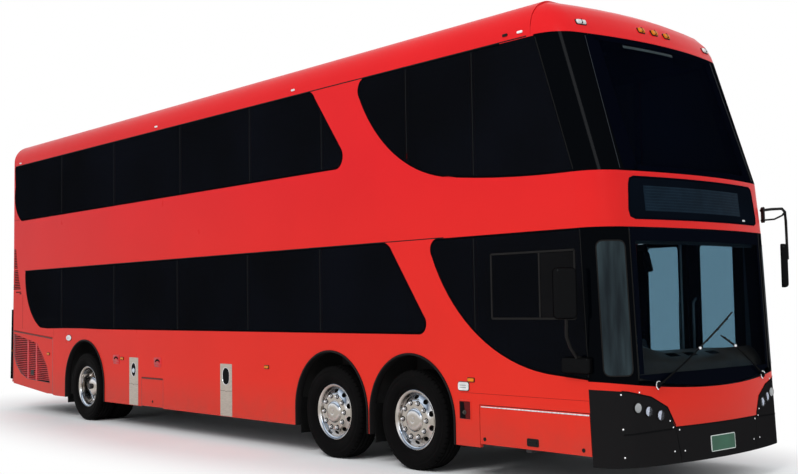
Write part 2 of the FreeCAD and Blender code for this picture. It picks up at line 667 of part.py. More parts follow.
def chassis_rails():
    """Low rails with their tow eyes, and legs up to the rear rails."""
    y0, y1 = RAIL_Y
    bars = [box(-2500, 5900, y0, y1, *RAIL_Z), box(-2500, -2420, y0, y1, RAIL_Z[0], REAR_RAIL_Z[1]),
            box(-6050, -2420, y0, y1, *REAR_RAIL_Z), tow_eye()]
    return compound(both_sides([fused(bars)]))


def frame_crossmembers():
    """Bars between the rails and outriggers from them to the sides."""
    y0, y1 = RAIL_Y
    bars = [box(x, x + 80, -y0, y0, *RAIL_Z) for x in (5700, 4400, 1000, -500, -2000)]
    bars += [box(x, x + 80, -y0, y0, 680, REAR_RAIL_Z[1]) for x in (-2700, -4300, -6050)]
    arms = [box(x, x + 60, y1, INNER_Y, RAIL_Z[1] - 40, RAIL_Z[1]) for x in (5100, 4420, 1300, -200, -1800)]
    return compound(bars + both_sides(arms))


def housing(x, half, inner_y, top):
    """Wheel housing of folded sheet, open at its bottom and to the arch."""
    outer = box(x - half, x + half, inner_y, INNER_Y, FLOOR_Z - 40, top)
    inner = box(x - half + SHEET, x + half - SHEET, inner_y + SHEET, 2000, 0, top - SHEET)
    return outer.cut(inner)


def wheel_housings():
    shapes = [housing(x, BAY_HALF, HOUSING_INNER_Y, 1145.0) for x in AXLE_X.values()]
    slot = box(REAR_AXLE_X - 95, REAR_AXLE_X + 95, 500, 700, 0, HUB_Z + 95)
    shapes.append(housing(REAR_AXLE_X, REAR_BAY_HALF, HOUSING_INNER_Y, HOUSING_TOP_REAR).cut(slot))
    return compound(both_sides(shapes))


def floor_panel(x0, x1, top, bays=()):
    """Floor across the body, let out for the wheel bays (their ends in x)."""
    panel = box(x0, x1, -INNER_Y, INNER_Y, top - FLOOR_T, top)
    cutters = [box(b0, b1, HOUSING_INNER_Y, 1400, 0, 1200) for b0, b1 in bays]
    return panel.cut(compound(both_sides(cutters))) if cutters else panel


def lower_floor():
    """Low floor, raised floor over the rear axle and deck over the engine."""
    front_bays = [(AXLE_X["2"] - BAY_HALF, AXLE_X["1"] + BAY_HALF)]
    rear_bays = [(REAR_AXLE_X - REAR_BAY_HALF, REAR_AXLE_X + REAR_BAY_HALF)]
    return compound([floor_panel(STEP_X, 5840.0, FLOOR_Z, front_bays),
                     floor_panel(BULKHEAD_X, STEP_X - FLOOR_T, REAR_FLOOR_Z, rear_bays),
                     floor_panel(-5980.0, BULKHEAD_X - FLOOR_T, ENGINE_TOP_Z)])


def floor_risers():
    """Riser to the raised floor, bulkhead of the engine bay and the driver's platform."""
    riser = box(STEP_X - FLOOR_T, STEP_X, -INNER_Y, INNER_Y, FLOOR_Z - FLOOR_T, REAR_FLOOR_Z)
    bulkhead = box(BULKHEAD_X - FLOOR_T, BULKHEAD_X, -INNER_Y, INNER_Y, REAR_FLOOR_Z - FLOOR_T, ENGINE_TOP_Z)
    platform = box(4290, 5600, -INNER_Y, -250, FLOOR_Z, CAB_FLOOR_Z)
    return compound([riser, bulkhead, platform])


STAIR_X = (-400.0, 1600.0)
STAIR_Y = (-INNER_Y, -560.0)


def upper_floor():
    slab = box(REAR_SEAM_X, 5700, -INNER_Y, INNER_Y, UPPER_FLOOR_Z - 60, UPPER_FLOOR_Z)
    nose = box(5700, 6000, -950, 950, UPPER_FLOOR_Z - 60, UPPER_FLOOR_Z)
    return fused([slab, nose]).cut(box(STAIR_X[0], STAIR_X[1], STAIR_Y[0], STAIR_Y[1], 2000, 2600))


def staircase():
    count = 9
    rise = (UPPER_FLOOR_Z - FLOOR_Z) / count
    going = (STAIR_X[1] - STAIR_X[0]) / count
    steps = []
    for i in range(count):
        x = STAIR_X[1] - i * going
        steps.append((x, FLOOR_Z + (i + 1) * rise))
        steps.append((x - going, FLOOR_Z + (i + 1) * rise))
    steps.append((STAIR_X[0], UPPER_FLOOR_Z - 60))
    steps.append((STAIR_X[1] - going, FLOOR_Z))
    return prism_y((STAIR_X[1], FLOOR_Z), steps, STAIR_Y[0], STAIR_Y[1])


def seat(x, z, y0, y1):
    """Double seat facing forward: squab with its base, and a leaning back."""
    steps = [(x + 430, z), (x + 450, z + 420), (x + 90, z + 440), (x + 20, z + 1020), (x - 60, z + 1020)]
    return prism_y((x, z), steps, y0, y1)


def passenger_seats():
    """Seats of the low floor, over the rear wheels and of the upper deck."""
    pitch = 800.0
    left = [seat(-2300.0 + pitch * i, FLOOR_Z, 330, 1180) for i in range(5)]
    right = [seat(-2300.0 + pitch * i, FLOOR_Z, -1180, -330) for i in range(2)]
    over = [seat(x, HOUSING_TOP_REAR, 320, 1180) for x in (-3960.0, -3300.0)]
    rows = [-5650.0 + pitch * i for i in range(13)]
    upper = [seat(x, UPPER_FLOOR_Z, 290, 1180) for x in rows]
    upper += [seat(x, UPPER_FLOOR_Z, -1180, -290) for x in rows if x < -900 or x > STAIR_X[1]]
    return compound(left + right + both_sides(over) + upper)


def driver_seat():
    squab = box(4640, 5120, -950, -470, 1010, 1130)
    pedestal = box(4750, 5010, -860, -560, 700, 1010)
    back = prism_y((4640, 1130), [(4740, 1130), (4660, 1780), (4580, 1780)], -950, -470)
    return fused([squab, pedestal, back])


def dashboard():
    """Fascia across the front with a binnacle that hoods the driver's instruments."""
    fascia = prism_y((5800.0, FLOOR_Z), [(5800.0, 940.0), (5870.0, 975.0), (6060.0, 900.0), (6030.0, 500.0),
                     (5840.0, 500.0), (5840.0, FLOOR_Z)], -1080, 1080)
    console = prism_y((5801.0, CAB_FLOOR_Z), [(5560.0, CAB_FLOOR_Z), (5480.0, 1080.0), (5510.0, 1250.0),
                      (5600.0, 1285.0), (5740.0, 1240.0), (5801.0, 960.0)], -1080, -330)
    return fused([fascia, console])


WHEEL_CENTRE = (5350.0, -710.0, 1230.0)


def steering_wheel():
    x, y, z = WHEEL_CENTRE
    tilt = vec(-0.6, 0, 0.8)
    rim = flats(232.0, 26.0, vec(x, y, z), tilt, 16).cut(flats(204.0, 60.0, vec(x, y, z), tilt, 16))
    spoke = box(x - 20, x + 20, y - 215, y + 215, z - 8, z + 8)
    column = flats(32.0, 600.0, vec(x, y, z), tilt, 8).common(box(x, 7000, y - 50, y + 50, 0, z))
    return fused([spoke, column, rim]).cut(dashboard())


def engine():
    return box(-5880, -4720, -430, 430, 420, 1230)


# ---------------------------------------------------------------- doors, flaps and fittings
def door_leaf(x0, x1):
    """Framed leaf of the entrance with its long pane let into the outside."""
    g = FLAP_GAP
    blank = box(x0 + g, x1 - g, HALF_WIDTH - DOOR_T, HALF_WIDTH, DOOR_Z[0] + g, DOOR_Z[1] - g)
    pane = box(x0 + 118, x1 - 118, HALF_WIDTH - DOOR_T - 5, HALF_WIDTH + 5, 560, DOOR_Z[1] - 40)
    return blank.cut(pane)


def door_glass(x0, x1):
    return box(x0 + 118, x1 - 118, HALF_WIDTH - 20, HALF_WIDTH - 12, 560, DOOR_Z[1] - 40)


def front_locker_flap():
    """Flap whose front edge follows the joint with the front corner."""
    z0, z1 = LOCKER_Z
    steps = [(side_edge_x(z0) - FLAP_GAP, z0), (side_edge_x(z1) - FLAP_GAP, z1), (LOCKER_X, z1)]
    return prism_y((LOCKER_X, z0), steps, -HALF_WIDTH, -HALF_WIDTH + 30)


def small_locker_flap():
    return box(*SMALL_LOCKER_X, -HALF_WIDTH, -HALF_WIDTH + 30, *SMALL_LOCKER_Z)


def rod(points, radius, count=6):
    """Bent bar of straight many-sided runs."""
    pieces = []
    for a, b in zip(points, points[1:]):
        start, end = vec(*a), vec(*b)
        along = (end - start).normalize()
        across = along.cross(vec(0.3, 0.2, 1)).normalize() * radius
        start, end = start - along * radius * 0.7, end + along * radius * 0.7
        turns = [FreeCAD.Rotation(along, 360.0 * k / count) for k in range(count + 1)]
        ends = Part.makePolygon([start + turn.multVec(across) for turn in turns])
        pieces.append(Part.Face(ends).extrude(end - start))
    return fused(pieces)


MIRROR_TURN = 31.0           # how far the heads are turned in, towards the driver


def mirror_head(centre, turn, width, height):
    x, y, z = centre
    head = box(x - 32, x + 32, y - width / 2, y + width / 2, z - height / 2, z + height / 2)
    head.rotate(vec(x, y, z), vec(0, 0, 1), turn)
    return head


def mirror_left():
    arm = rod([(6000, 1150, 2425), (6080, 1420, 2450), (6070, 1500, 2330), (6075, 1500, 1960)], 14)
    head = mirror_head((6062, 1460, 1900), MIRROR_TURN, 195, 420)
    return fused([arm, head]).cut(front_zone(1, 0.0, 4000.0))


def mirror_right():
    bracket = box(5605, 5885, -1320, -HALF_WIDTH, 1000, 1136)
    arm = rod([(5775, -1290, 1120), (5765, -1420, 1300), (5790, -1440, 1500)], 14)
    head = mirror_head((5795, -1460, 1660), -MIRROR_TURN, 195, 420)
    return fused([bracket, arm, head])


def wipers():
    """Arm and blade in front of each half of the lower windscreen."""
    pairs = []
    for side, tip in ((-1, (-266.0, 1471.0)), (1, (60.0, 1275.0))):
        points = [(785.0, 895.0), (268.0, 1180.0), tip]
        foot, elbow, end = [(bow_point_x(y, z, 20.0), side * y, z) for y, z in points]
        base = (foot[0] - 50.0, foot[1], foot[2])
        arm = rod([base, foot, elbow], 9, 6)
        blade = rod([elbow, end], 11, 4)
        pairs.append(fused([arm, blade]).cut(front_zone(0, 0.0, 4000.0)))
    return compound(pairs)


def fixed_nodes():
    """Everything that stays with the body."""
    nodes = {
        "right_side_wall": right_side_wall(), "left_side_wall": left_side_wall(),
        "headlamps": headlamps(), "front_axles": compound([front_axle(x) for x in AXLE_X.values()]),
        "rear_axle": rear_axle(), "air_springs": air_springs(), "chassis_rails": chassis_rails(),
        "frame_crossmembers": frame_crossmembers(), "floor_risers": floor_risers(),
        "spring_towers": compound(both_sides([spring_tower(x) for x in AXLE_X.values()])),
        "wheel_housings": wheel_housings(), "lower_floor": lower_floor(), "upper_floor": upper_floor(),
        "staircase": staircase(), "passenger_seats": passenger_seats(), "driver_seat": driver_seat(),
        "dashboard": dashboard(), "steering_wheel": steering_wheel(), "engine": engine(),
        "mirrors": compound([mirror_left(), mirror_right()]), "wipers": wipers(), "roof": roof(),
    }
    nodes.update(front_pieces())
    nodes.update(rear_pieces())
    panes = [right_windows(), left_windows(), nodes.pop("rear_window")]
    nodes["saloon_windows"] = compound(panes)
    return nodes


def moving_nodes():
    """Wheels, knuckles, door leaves and flaps."""
    nodes = {
        "door_leaf_rear": door_leaf(DOOR_X[0], DOOR_X[1]), "door_glass_rear": door_glass(DOOR_X[0], DOOR_X[1]),
        "door_leaf_front": door_leaf(DOOR_X[1], DOOR_X[2]), "door_glass_front": door_glass(DOOR_X[1], DOOR_X[2]),
        "front_locker_flap": front_locker_flap(), "small_locker_flap": small_locker_flap(),
        "engine_door_right": engine_side_door(), "engine_door_left": mirror_y(engine_side_door()),
    }
    for side, s in (("left", 1), ("right", -1)):
        for axle, x in AXLE_X.items():
            nodes["knuckle_%s_%s" % (axle, side)] = knuckle(x, s)
            nodes["rim_%s_%s" % (axle, side)] = front_rim(x, s)
            nodes["tyre_%s_%s" % (axle, side)] = tyre(x, WHEEL_Y, s)
        nodes["twin_rims_" + side] = twin_rims(s)
        nodes["twin_tyres_" + side] = twin_tyres(s)
    return nodes


def main():
    os.makedirs("parts", exist_ok=True)
    for nodes in (fixed_nodes(), moving_nodes()):
        for name, shape in nodes.items():
            shape.exportStep("parts/%s.step" % name)


main()
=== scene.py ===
"""Looks of the double-decker bus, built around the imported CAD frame."""

import json
import math

import bmesh
import bpy
from mathutils import Matrix, Vector
from mathutils.bvhtree import BVHTree


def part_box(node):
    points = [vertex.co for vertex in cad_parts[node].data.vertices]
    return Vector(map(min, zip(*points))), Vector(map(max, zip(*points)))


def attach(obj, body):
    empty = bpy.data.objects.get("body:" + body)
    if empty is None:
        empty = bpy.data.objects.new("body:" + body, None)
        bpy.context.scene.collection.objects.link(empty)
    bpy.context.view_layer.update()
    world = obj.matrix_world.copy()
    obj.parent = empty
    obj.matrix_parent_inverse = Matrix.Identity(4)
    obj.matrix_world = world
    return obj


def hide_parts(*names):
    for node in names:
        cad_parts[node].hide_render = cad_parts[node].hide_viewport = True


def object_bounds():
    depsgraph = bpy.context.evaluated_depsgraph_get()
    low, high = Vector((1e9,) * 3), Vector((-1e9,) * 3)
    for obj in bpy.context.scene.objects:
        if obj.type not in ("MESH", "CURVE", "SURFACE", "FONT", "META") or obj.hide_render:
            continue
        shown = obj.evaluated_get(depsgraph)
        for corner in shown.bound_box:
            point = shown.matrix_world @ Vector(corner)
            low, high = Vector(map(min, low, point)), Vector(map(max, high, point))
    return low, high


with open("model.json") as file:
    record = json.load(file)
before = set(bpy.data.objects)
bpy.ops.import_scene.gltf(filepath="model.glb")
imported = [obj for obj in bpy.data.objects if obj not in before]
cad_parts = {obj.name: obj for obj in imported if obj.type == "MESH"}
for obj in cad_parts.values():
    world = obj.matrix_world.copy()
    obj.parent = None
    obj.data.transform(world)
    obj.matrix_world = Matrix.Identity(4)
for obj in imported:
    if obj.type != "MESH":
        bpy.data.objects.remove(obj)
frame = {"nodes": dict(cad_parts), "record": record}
NODES = frame["nodes"]
SCENE = bpy.context.scene
cad_low, cad_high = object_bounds()


# ---------------------------------------------------------------- places read from the frame
def span(node, axis):
    """Lowest and highest coordinate of a CAD node along one axis."""
    low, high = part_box(node)
    return low["xyz".index(axis)], high["xyz".index(axis)]


def middle(node):
    low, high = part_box(node)
    return (Vector(low) + Vector(high)) / 2


def tree_of(*names):
    """Search tree over the faces of some CAD nodes."""
    bm = bmesh.new()
    for name in names:
        bm.from_mesh(NODES[name].data)
    return BVHTree.FromBMesh(bm)


HALF_W = -span("right_side_wall", "y")[0]
SKIRT_Z = span("right_side_wall", "z")[0]
SKIN = tree_of("front_panel", "front_bumper", "front_band", "lower_windscreen", "upper_windscreen",
               "destination_sign", "corner_pillars", "roof", "right_side_wall", "left_side_wall", "rear_wall",
               "tail_lamps", "saloon_windows", "rear_engine_door", "door_leaf_front", "door_leaf_rear")
# a ray that lands further in than these went through a joint
FRONT_FROM_X, SIDE_FROM_Y, REAR_FROM_X = 5.4, 0.9, -5.9
ASIDE = (0.0, 0.007, -0.007, 0.014, -0.014)                 # steps that clear a panel joint


def cast(start, direction):
    """Point on the skin and its outward normal, looking from start."""
    place, normal, _, _ = SKIN.ray_cast(Vector(start), Vector(direction))
    if place is None:
        raise ValueError("nothing seen from %s towards %s" % (tuple(start), direction))
    return place, normal if normal.dot(Vector(direction)) < 0 else -normal


def settle(start, direction, near, lift):
    """Cast that looks a few millimetres to one side where a joint lets the first ray through."""
    for step in ASIDE:
        for way in ((0, 0, 1), (0, 1, 0) if direction[0] else (1, 0, 0)):
            aside = Vector(way) * step
            place, normal = cast(Vector(start) + aside, direction)
            if near(place):
                return place - aside + normal * lift, normal
    raise ValueError("no near surface from %s towards %s" % (tuple(start), direction))


def on_front(y, z, lift=0.0):
    return settle((8.0, y, z), (-1, 0, 0), lambda p: p.x > FRONT_FROM_X, lift)


def on_side(x, z, side):
    """side is -1 for the driver's side and 1 for the kerb side."""
    return settle((x, side * 3.0, z), (0, -side, 0), lambda p: side * p.y > SIDE_FROM_Y, 0.0)


def on_rear(y, z):
    return settle((-8.0, y, z), (1, 0, 0), lambda p: p.x < REAR_FROM_X, 0.0)


def basis(place, normal, up=(0, 0, 1)):
    """Matrix at place whose Z is the normal, and whose Y is as near to up as it can be."""
    z_axis = Vector(normal).normalized()
    x_axis = Vector(up).cross(z_axis).normalized()
    return Matrix.Translation(place) @ Matrix((x_axis, z_axis.cross(x_axis), z_axis)).transposed().to_4x4()


def at(x, y, z):
    return Matrix.Translation((x, y, z))


def turned(axis, degrees):
    return Matrix.Rotation(math.radians(degrees), 4, axis)


def side_place(x, z, side, lift=0.0):
    """Matrix on the flat side, its Z outward, its Y up and its X along the side."""
    return basis((x, side * (HALF_W + lift), z), (0, side, 0))


# ---------------------------------------------------------------- materials
def node(tree, kind, inputs=(), out=0, **settings):
    """Output of a new shader node; inputs maps its sockets to values, or to outputs that feed them."""
    made = tree.nodes.new("ShaderNode" + kind)
    for key, value in settings.items():
        setattr(made, key, value)
    for key, value in dict(inputs).items():
        if isinstance(value, bpy.types.NodeSocket):
            tree.links.new(value, made.inputs[key])
        else:
            made.inputs[key].default_value = value
    return made.outputs[out]


def maths(tree, operation, *values):
    return node(tree, "Math", dict(enumerate(values)), operation=operation)


def mixed(tree, factor, low, high):
    return node(tree, "Mix", {"Factor": factor, "A": low, "B": (*high, 1.0)}, "Result", data_type="RGBA")


def mixed_shader(tree, factor, first, second):
    return node(tree, "MixShader", {0: factor, 1: first, 2: second})


def object_coords(tree):
    return node(tree, "TexCoord", out="Object")


def noise(tree, scale, detail=4.0, roughness=0.5, stretch=(1.0, 1.0, 1.0)):
    """Factor of a noise texture in object space."""
    place = node(tree, "Mapping", {"Vector": object_coords(tree), "Scale": stretch})
    inputs = {"Vector": place, "Scale": scale, "Detail": detail, "Roughness": roughness}
    return node(tree, "TexNoise", inputs, "Fac")


def ramp(tree, factor, stops):
    """Colour that runs through (position, colour) stops with a factor."""
    made = node(tree, "ValToRGB", {"Fac": factor}).node
    elements = made.color_ramp.elements
    for element, (position, color) in zip(elements, (stops[0], stops[-1])):
        element.position, element.color = position, (*color, 1.0)
    for position, color in stops[1:-1]:
        elements.new(position).color = (*color, 1.0)
    return made.outputs["Color"]


def scaled(color, factor):
    return tuple(c * factor for c in color)


class Look:
    """A material with one Principled shader, and what feeds it."""

    def __init__(self, color, roughness, **sockets):
        self.mat = bpy.data.materials.new("look")
        self.mat.use_nodes = True
        self.tree = self.mat.node_tree
        self.shader = self.tree.nodes["Principled BSDF"]
        self.set("Base Color", (*color, 1.0))
        self.set("Roughness", roughness)
        for key, value in sockets.items():
            self.set(key.replace("_", " "), value)

    def set(self, socket, value):
        self.shader.inputs[socket].default_value = value

    def feed(self, socket, output):
        self.tree.links.new(output, self.shader.inputs[socket])

    def noise(self, *args):
        return noise(self.tree, *args)

    def vary_color(self, factor, low, high, start=0.35, end=0.65):
        self.feed("Base Color", ramp(self.tree, factor, ((start, low), (end, high))))

    def vary_roughness(self, factor, low, high):
        self.feed("Roughness", node(self.tree, "MapRange", {"Value": factor, "To Min": low, "To Max": high}))

    def bump(self, height, strength, distance):
        inputs = {"Height": height, "Strength": strength, "Distance": distance}
        self.feed("Normal", node(self.tree, "Bump", inputs))

    def surface(self, output):
        self.tree.links.new(output, self.tree.nodes["Material Output"].inputs["Surface"])
        return output

    def gloss(self, amount, roughness):
        """Even clear reflection over the shader."""
        shine = node(self.tree, "BsdfGlossy", {"Color": (0.93, 0.96, 1.0, 1.0), "Roughness": roughness})
        return self.surface(mixed_shader(self.tree, amount, self.shader.outputs["BSDF"], shine))


SALOON_MIDDLE = (0.0, 0.0, 2.6)
LINING = (0.16, 0.16, 0.165)
ROAD_FILM = (0.16, 0.085, 0.06)
ROOF_JOINT, JOINT_PITCH, JOINT_W, JOINT_FROM_Z = (0.10, 0.004, 0.004), 1.18, 0.012, 4.24


def lining_mask(tree, coords):
    """1 on faces that look into the saloon, 0 on those that look out."""
    outward = node(tree, "VectorMath", {0: coords, 1: SALOON_MIDDLE}, operation="SUBTRACT")
    normal = node(tree, "VectorTransform", {"Vector": node(tree, "NewGeometry", out="True Normal")},
                  vector_type="NORMAL", convert_from="WORLD", convert_to="OBJECT")
    facing = node(tree, "VectorMath", {0: outward, 1: normal}, "Value", operation="DOT_PRODUCT")
    return maths(tree, "LESS_THAN", facing, -0.4)


def body_paint(high_color, low_color, joints=False):
    """Gloss paint, more orange towards the sills, with road film near the ground and a grey inside."""
    look = Look(high_color, 0.3, Specular_IOR_Level=0.05, Coat_Weight=0.03, Coat_Roughness=0.05)
    tree = look.tree
    coords = object_coords(tree)
    split = node(tree, "SeparateXYZ", {"Vector": coords}).node.outputs
    height = node(tree, "MapRange", {"Value": split["Z"], "From Min": 0.6, "From Max": 3.0})
    color = ramp(tree, height, ((0.0, low_color), (1.0, high_color)))
    film = node(tree, "MapRange", {"Value": split["Z"], "From Min": 0.75, "From Max": 0.25, "To Max": 0.5})
    color = mixed(tree, maths(tree, "MULTIPLY", film, look.noise(7.0, 8.0, 0.65)), color, ROAD_FILM)
    drift = node(tree, "MapRange", {"Value": look.noise(0.9, 5.0), "To Min": 0.93, "To Max": 1.07})
    color = node(tree, "HueSaturation", {"Value": drift, "Color": color})
    color = mixed(tree, lining_mask(tree, coords), color, LINING)
    if joints:
        line = maths(tree, "LESS_THAN", maths(tree, "PINGPONG", split["X"], JOINT_PITCH / 2), JOINT_W / 2)
        above = maths(tree, "GREATER_THAN", split["Z"], JOINT_FROM_Z)
        color = mixed(tree, maths(tree, "MULTIPLY", line, above), color, ROOF_JOINT)
    look.feed("Base Color", color)
    look.vary_roughness(look.noise(3.0, 6.0), 0.24, 0.36)
    look.bump(look.noise(220.0, 2.0), 0.04, 0.0005)
    return look


def paint(color, roughness, gloss):
    """Gloss paint: slight colour drift, orange peel and fine dust in its roughness."""
    look = Look(color, roughness, Specular_IOR_Level=0.0)
    look.vary_color(look.noise(0.9, 5.0), scaled(color, 0.94), scaled(color, 1.06))
    look.vary_roughness(look.noise(3.0, 6.0), roughness * 0.85, roughness * 1.25)
    look.bump(look.noise(220.0, 2.0), 0.04, 0.0005)
    look.gloss(gloss, roughness)
    return look


def moulded(color, roughness, grain=900.0, strength=0.2, spec=0.3, drift=0.15):
    """Moulded plastic or rubber with a fine grain."""
    look = Look(color, roughness, Specular_IOR_Level=spec)
    look.vary_color(look.noise(6.0), scaled(color, 1 - drift), scaled(color, 1 + drift))
    look.vary_roughness(look.noise(11.0, 5.0), roughness * 0.9, min(1.0, roughness * 1.12))
    look.bump(look.noise(grain, 3.0), strength, 0.0004)
    return look


def metal(color, roughness, scratch=60.0, stretch=(1.0, 1.0, 1.0)):
    look = Look(color, roughness, Metallic=1.0)
    factor = look.noise(scratch, 6.0, 0.6, stretch)
    look.vary_color(factor, scaled(color, 0.72), scaled(color, 1.1))
    look.vary_roughness(factor, roughness * 0.8, roughness * 1.3)
    return look


def pane(color, see_through, gloss=0.008, tint=(0.8, 0.86, 0.9)):
    """Tinted glass: a dark skin with an even shine, mixed with a clear part."""
    look = Look(color, 0.5, Specular_IOR_Level=0.0)
    # large darker and lighter patches over the dark skin: painted reflection
    look.vary_color(look.noise(0.7, 5.0), scaled(color, 0.6), scaled(color, 1.5))
    clear = node(look.tree, "BsdfTransparent", {"Color": (*tint, 1.0)})
    look.surface(mixed_shader(look.tree, see_through, look.gloss(gloss, 0.03), clear))
    return look


def pane_with_painted_reflection_streaks(dark, light, gloss):
    """Curved glass over a lining, with soft upright streaks of painted reflection."""
    look = Look(dark, 0.5, Specular_IOR_Level=0.0)
    # lighter upright streaks in the base colour: painted reflection
    look.vary_color(look.noise(9.0, 3.0, 0.5, (1.0, 1.0, 0.10)), dark, light, 0.40, 0.68)
    look.gloss(gloss, 0.04)
    return look


def metal_with_painted_reflection(stops, roughness):
    """Alloy with a painted reflection: colour in bands from the ground colour up to the sky colour by how
    each face tilts.
    """
    look = Look(stops[0][1], roughness, Metallic=1.0)
    tree = look.tree
    parts = node(tree, "SeparateXYZ", {"Vector": node(tree, "NewGeometry", out="Normal")}).node.outputs
    wobble = node(tree, "MapRange", {"Value": look.noise(30.0, 2.0), "To Min": -0.06, "To Max": 0.06})
    tilt = node(tree, "MapRange", {"Value": maths(tree, "ADD", parts["Z"], wobble), "From Min": -1.0})
    look.feed("Base Color", ramp(tree, tilt, stops))
    look.vary_roughness(look.noise(40.0, 6.0), roughness * 0.7, roughness * 1.4)
    return look


def woven(low, high):
    """Seat cloth: crossing threads with small flecks of a second colour."""
    look = Look(low, 0.92, Specular_IOR_Level=0.1, Sheen_Weight=0.3)
    look.vary_color(look.noise(38.0, 2.0), low, high, 0.52, 0.60)
    threads = [node(look.tree, "TexWave", {"Vector": object_coords(look.tree), "Scale": 160.0}, "Fac",
                    bands_direction=way) for way in ("X", "Y")]
    look.bump(maths(look.tree, "MULTIPLY", *threads), 0.5, 0.001)
    return look


RED, LOW_RED = (0.66, 0.014, 0.017), (0.69, 0.029, 0.016)
# painted reflection: ground colours on faces that look down, warm greys on level faces, a dark horizon band
# and sky colours on faces that look up
CHROME_REFLECTION_BANDS = ((0.0, (0.10, 0.085, 0.07)), (0.22, (0.30, 0.26, 0.22)), (0.40, (0.60, 0.56, 0.52)),
                (0.47, (0.38, 0.35, 0.31)), (0.53, (0.42, 0.38, 0.34)), (0.60, (0.74, 0.74, 0.75)),
                (0.70, (0.10, 0.13, 0.18)), (0.80, (0.54, 0.64, 0.78)), (1.0, (0.93, 0.95, 1.0)))
LOOKS = {
    # the record's slots
    "red_paint": body_paint(RED, LOW_RED),
    "black_paint": paint((0.0004, 0.0008, 0.0015), 0.07, 0.0018),
    "black_plastic": moulded((0.0052, 0.0047, 0.0046), 0.38, spec=0.12),
    "tinted_glass": pane((0.001, 0.0014, 0.003), 0.08, 0.003),
    "screen_glass": pane((0.0006, 0.0014, 0.004), 0.80, 0.004, (0.62, 0.74, 0.80)),
    "sign_glass": pane((0.001, 0.0024, 0.0052), 0.0, 0.0015),
    "frame_steel": moulded((0.03, 0.03, 0.032), 0.55, 300.0),
    "sheet_steel": moulded((0.035, 0.034, 0.033), 0.6, 160.0),
    "wheel_chrome": metal_with_painted_reflection(CHROME_REFLECTION_BANDS, 0.16),
    "tyre": moulded((0.0034, 0.0032, 0.0033), 0.70, 500.0, 0.35, 0.03),
    "spring_rubber": moulded((0.0055, 0.005, 0.0052), 0.62, spec=0.12),
    "lamp_clear": metal((0.8, 0.82, 0.85), 0.1),
    "lamp_red": moulded((0.30, 0.006, 0.006), 0.12, strength=0.02),
    "lamp_amber": moulded((0.62, 0.19, 0.006), 0.2, strength=0.05, spec=0.15),
    "seat_fabric": woven((0.012, 0.022, 0.085), (0.12, 0.02, 0.03)),
    "floor_vinyl": moulded((0.12, 0.12, 0.125), 0.7),
    "cab_plastic": moulded((0.035, 0.035, 0.038), 0.6),
    "engine_iron": moulded((0.06, 0.058, 0.055), 0.6, 200.0),
    # finishes of smaller parts
    "roof_paint": body_paint(RED, LOW_RED, joints=True),
    "seam": moulded((0.006, 0.006, 0.006), 0.6, spec=0.1),
    "red_seam": moulded((0.16, 0.008, 0.007), 0.6, spec=0.1),
    "stainless": metal((0.52, 0.46, 0.40), 0.42, 18.0, (1.0, 1.0, 26.0)),
    "chrome": metal((0.82, 0.82, 0.84), 0.12),
    "white_lens": moulded((0.72, 0.73, 0.72), 0.16, strength=0.03),
    "red_plastic": moulded((0.55, 0.014, 0.02), 0.35, strength=0.05),
    "dark": moulded((0.0025, 0.0025, 0.003), 0.7, spec=0.05),
    "plate_green": moulded((0.012, 0.085, 0.045), 0.4, strength=0.05),
    "plate_white": moulded((0.62, 0.66, 0.63), 0.4, strength=0.05),
    "mirror_glass": metal((0.55, 0.60, 0.66), 0.03),
    "screen_matrix": moulded((0.005, 0.0115, 0.02), 0.6, 260.0, 0.3, 0.02),
    "corner_glass_painted_reflection": pane_with_painted_reflection_streaks((0.004, 0.008, 0.011), (0.026, 0.042, 0.048), 0.010),
    "handrail": metal((0.42, 0.42, 0.42), 0.35),
    "black_panel": paint((0.0006, 0.0014, 0.0042), 0.12, 0.0015),
    "upper_border": paint((0.0004, 0.0009, 0.0034), 0.12, 0.0008),
    "bumper_skin": paint((0.008, 0.0074, 0.0077), 0.22, 0.004),
    "frosted_bar": moulded((0.026, 0.038, 0.042), 0.5, spec=0.05),
    "upper_glass": pane((0.0004, 0.001, 0.004), 0.55, 0.0015, (0.42, 0.52, 0.58)),
    "screen_line": moulded((0.02, 0.024, 0.03), 0.4, spec=0.1),
    # dark red of the valve recess: painted shade
    "hollow_red_painted_shade": moulded((0.10, 0.006, 0.006), 0.6, spec=0.1),
    "bright_bolt": metal((0.85, 0.85, 0.86), 0.25),
    "screen_rows": moulded((0.0085, 0.019, 0.03), 0.6, 420.0, 0.2, 0.02),
    "lens": pane((0.3, 0.31, 0.33), 0.90, 0.06, (0.94, 0.96, 1.0)),
    "frosted": moulded((0.34, 0.35, 0.35), 0.22, 90.0, 0.3),
    "gloss_plastic": paint((0.0022, 0.0022, 0.0025), 0.20, 0.005),
    "piping": moulded((0.16, 0.16, 0.17), 0.7, 700.0),
    "cab_cloth": woven((0.016, 0.017, 0.020), (0.05, 0.05, 0.055)),
    # the dashboard's own brown, made lighter to stand in for sunlight through the screen: partly painted
    # light
    "dash_skin_with_painted_light": moulded((0.185, 0.092, 0.060), 0.38, 420.0, 0.35, 0.35),
    "gauge_face": moulded((0.30, 0.27, 0.23), 0.4, 60.0, 0.1, drift=0.4),
    "door_glass": pane((0.004, 0.006, 0.007), 0.85, 0.01, (0.683, 0.822, 0.883)),
    "cast_iron": moulded((0.05, 0.045, 0.04), 0.65, 240.0, 0.5),
}
for look_name, look in LOOKS.items():
    look.mat.name = look_name


# ---------------------------------------------------------------- outlines and runs of points
def line(start, end, count):
    """Points at even steps from start to end, both included."""
    return [tuple(a + (b - a) * k / count for a, b in zip(start, end)) for k in range(count + 1)]


def path(points, step):
    """Points about a step apart along straight runs through some (u, v) points."""
    found = []
    for a, b in zip(points, points[1:]):
        found += line(a, b, max(1, round(math.dist(a, b) / step)))[:-1]
    return found + [tuple(points[-1])]


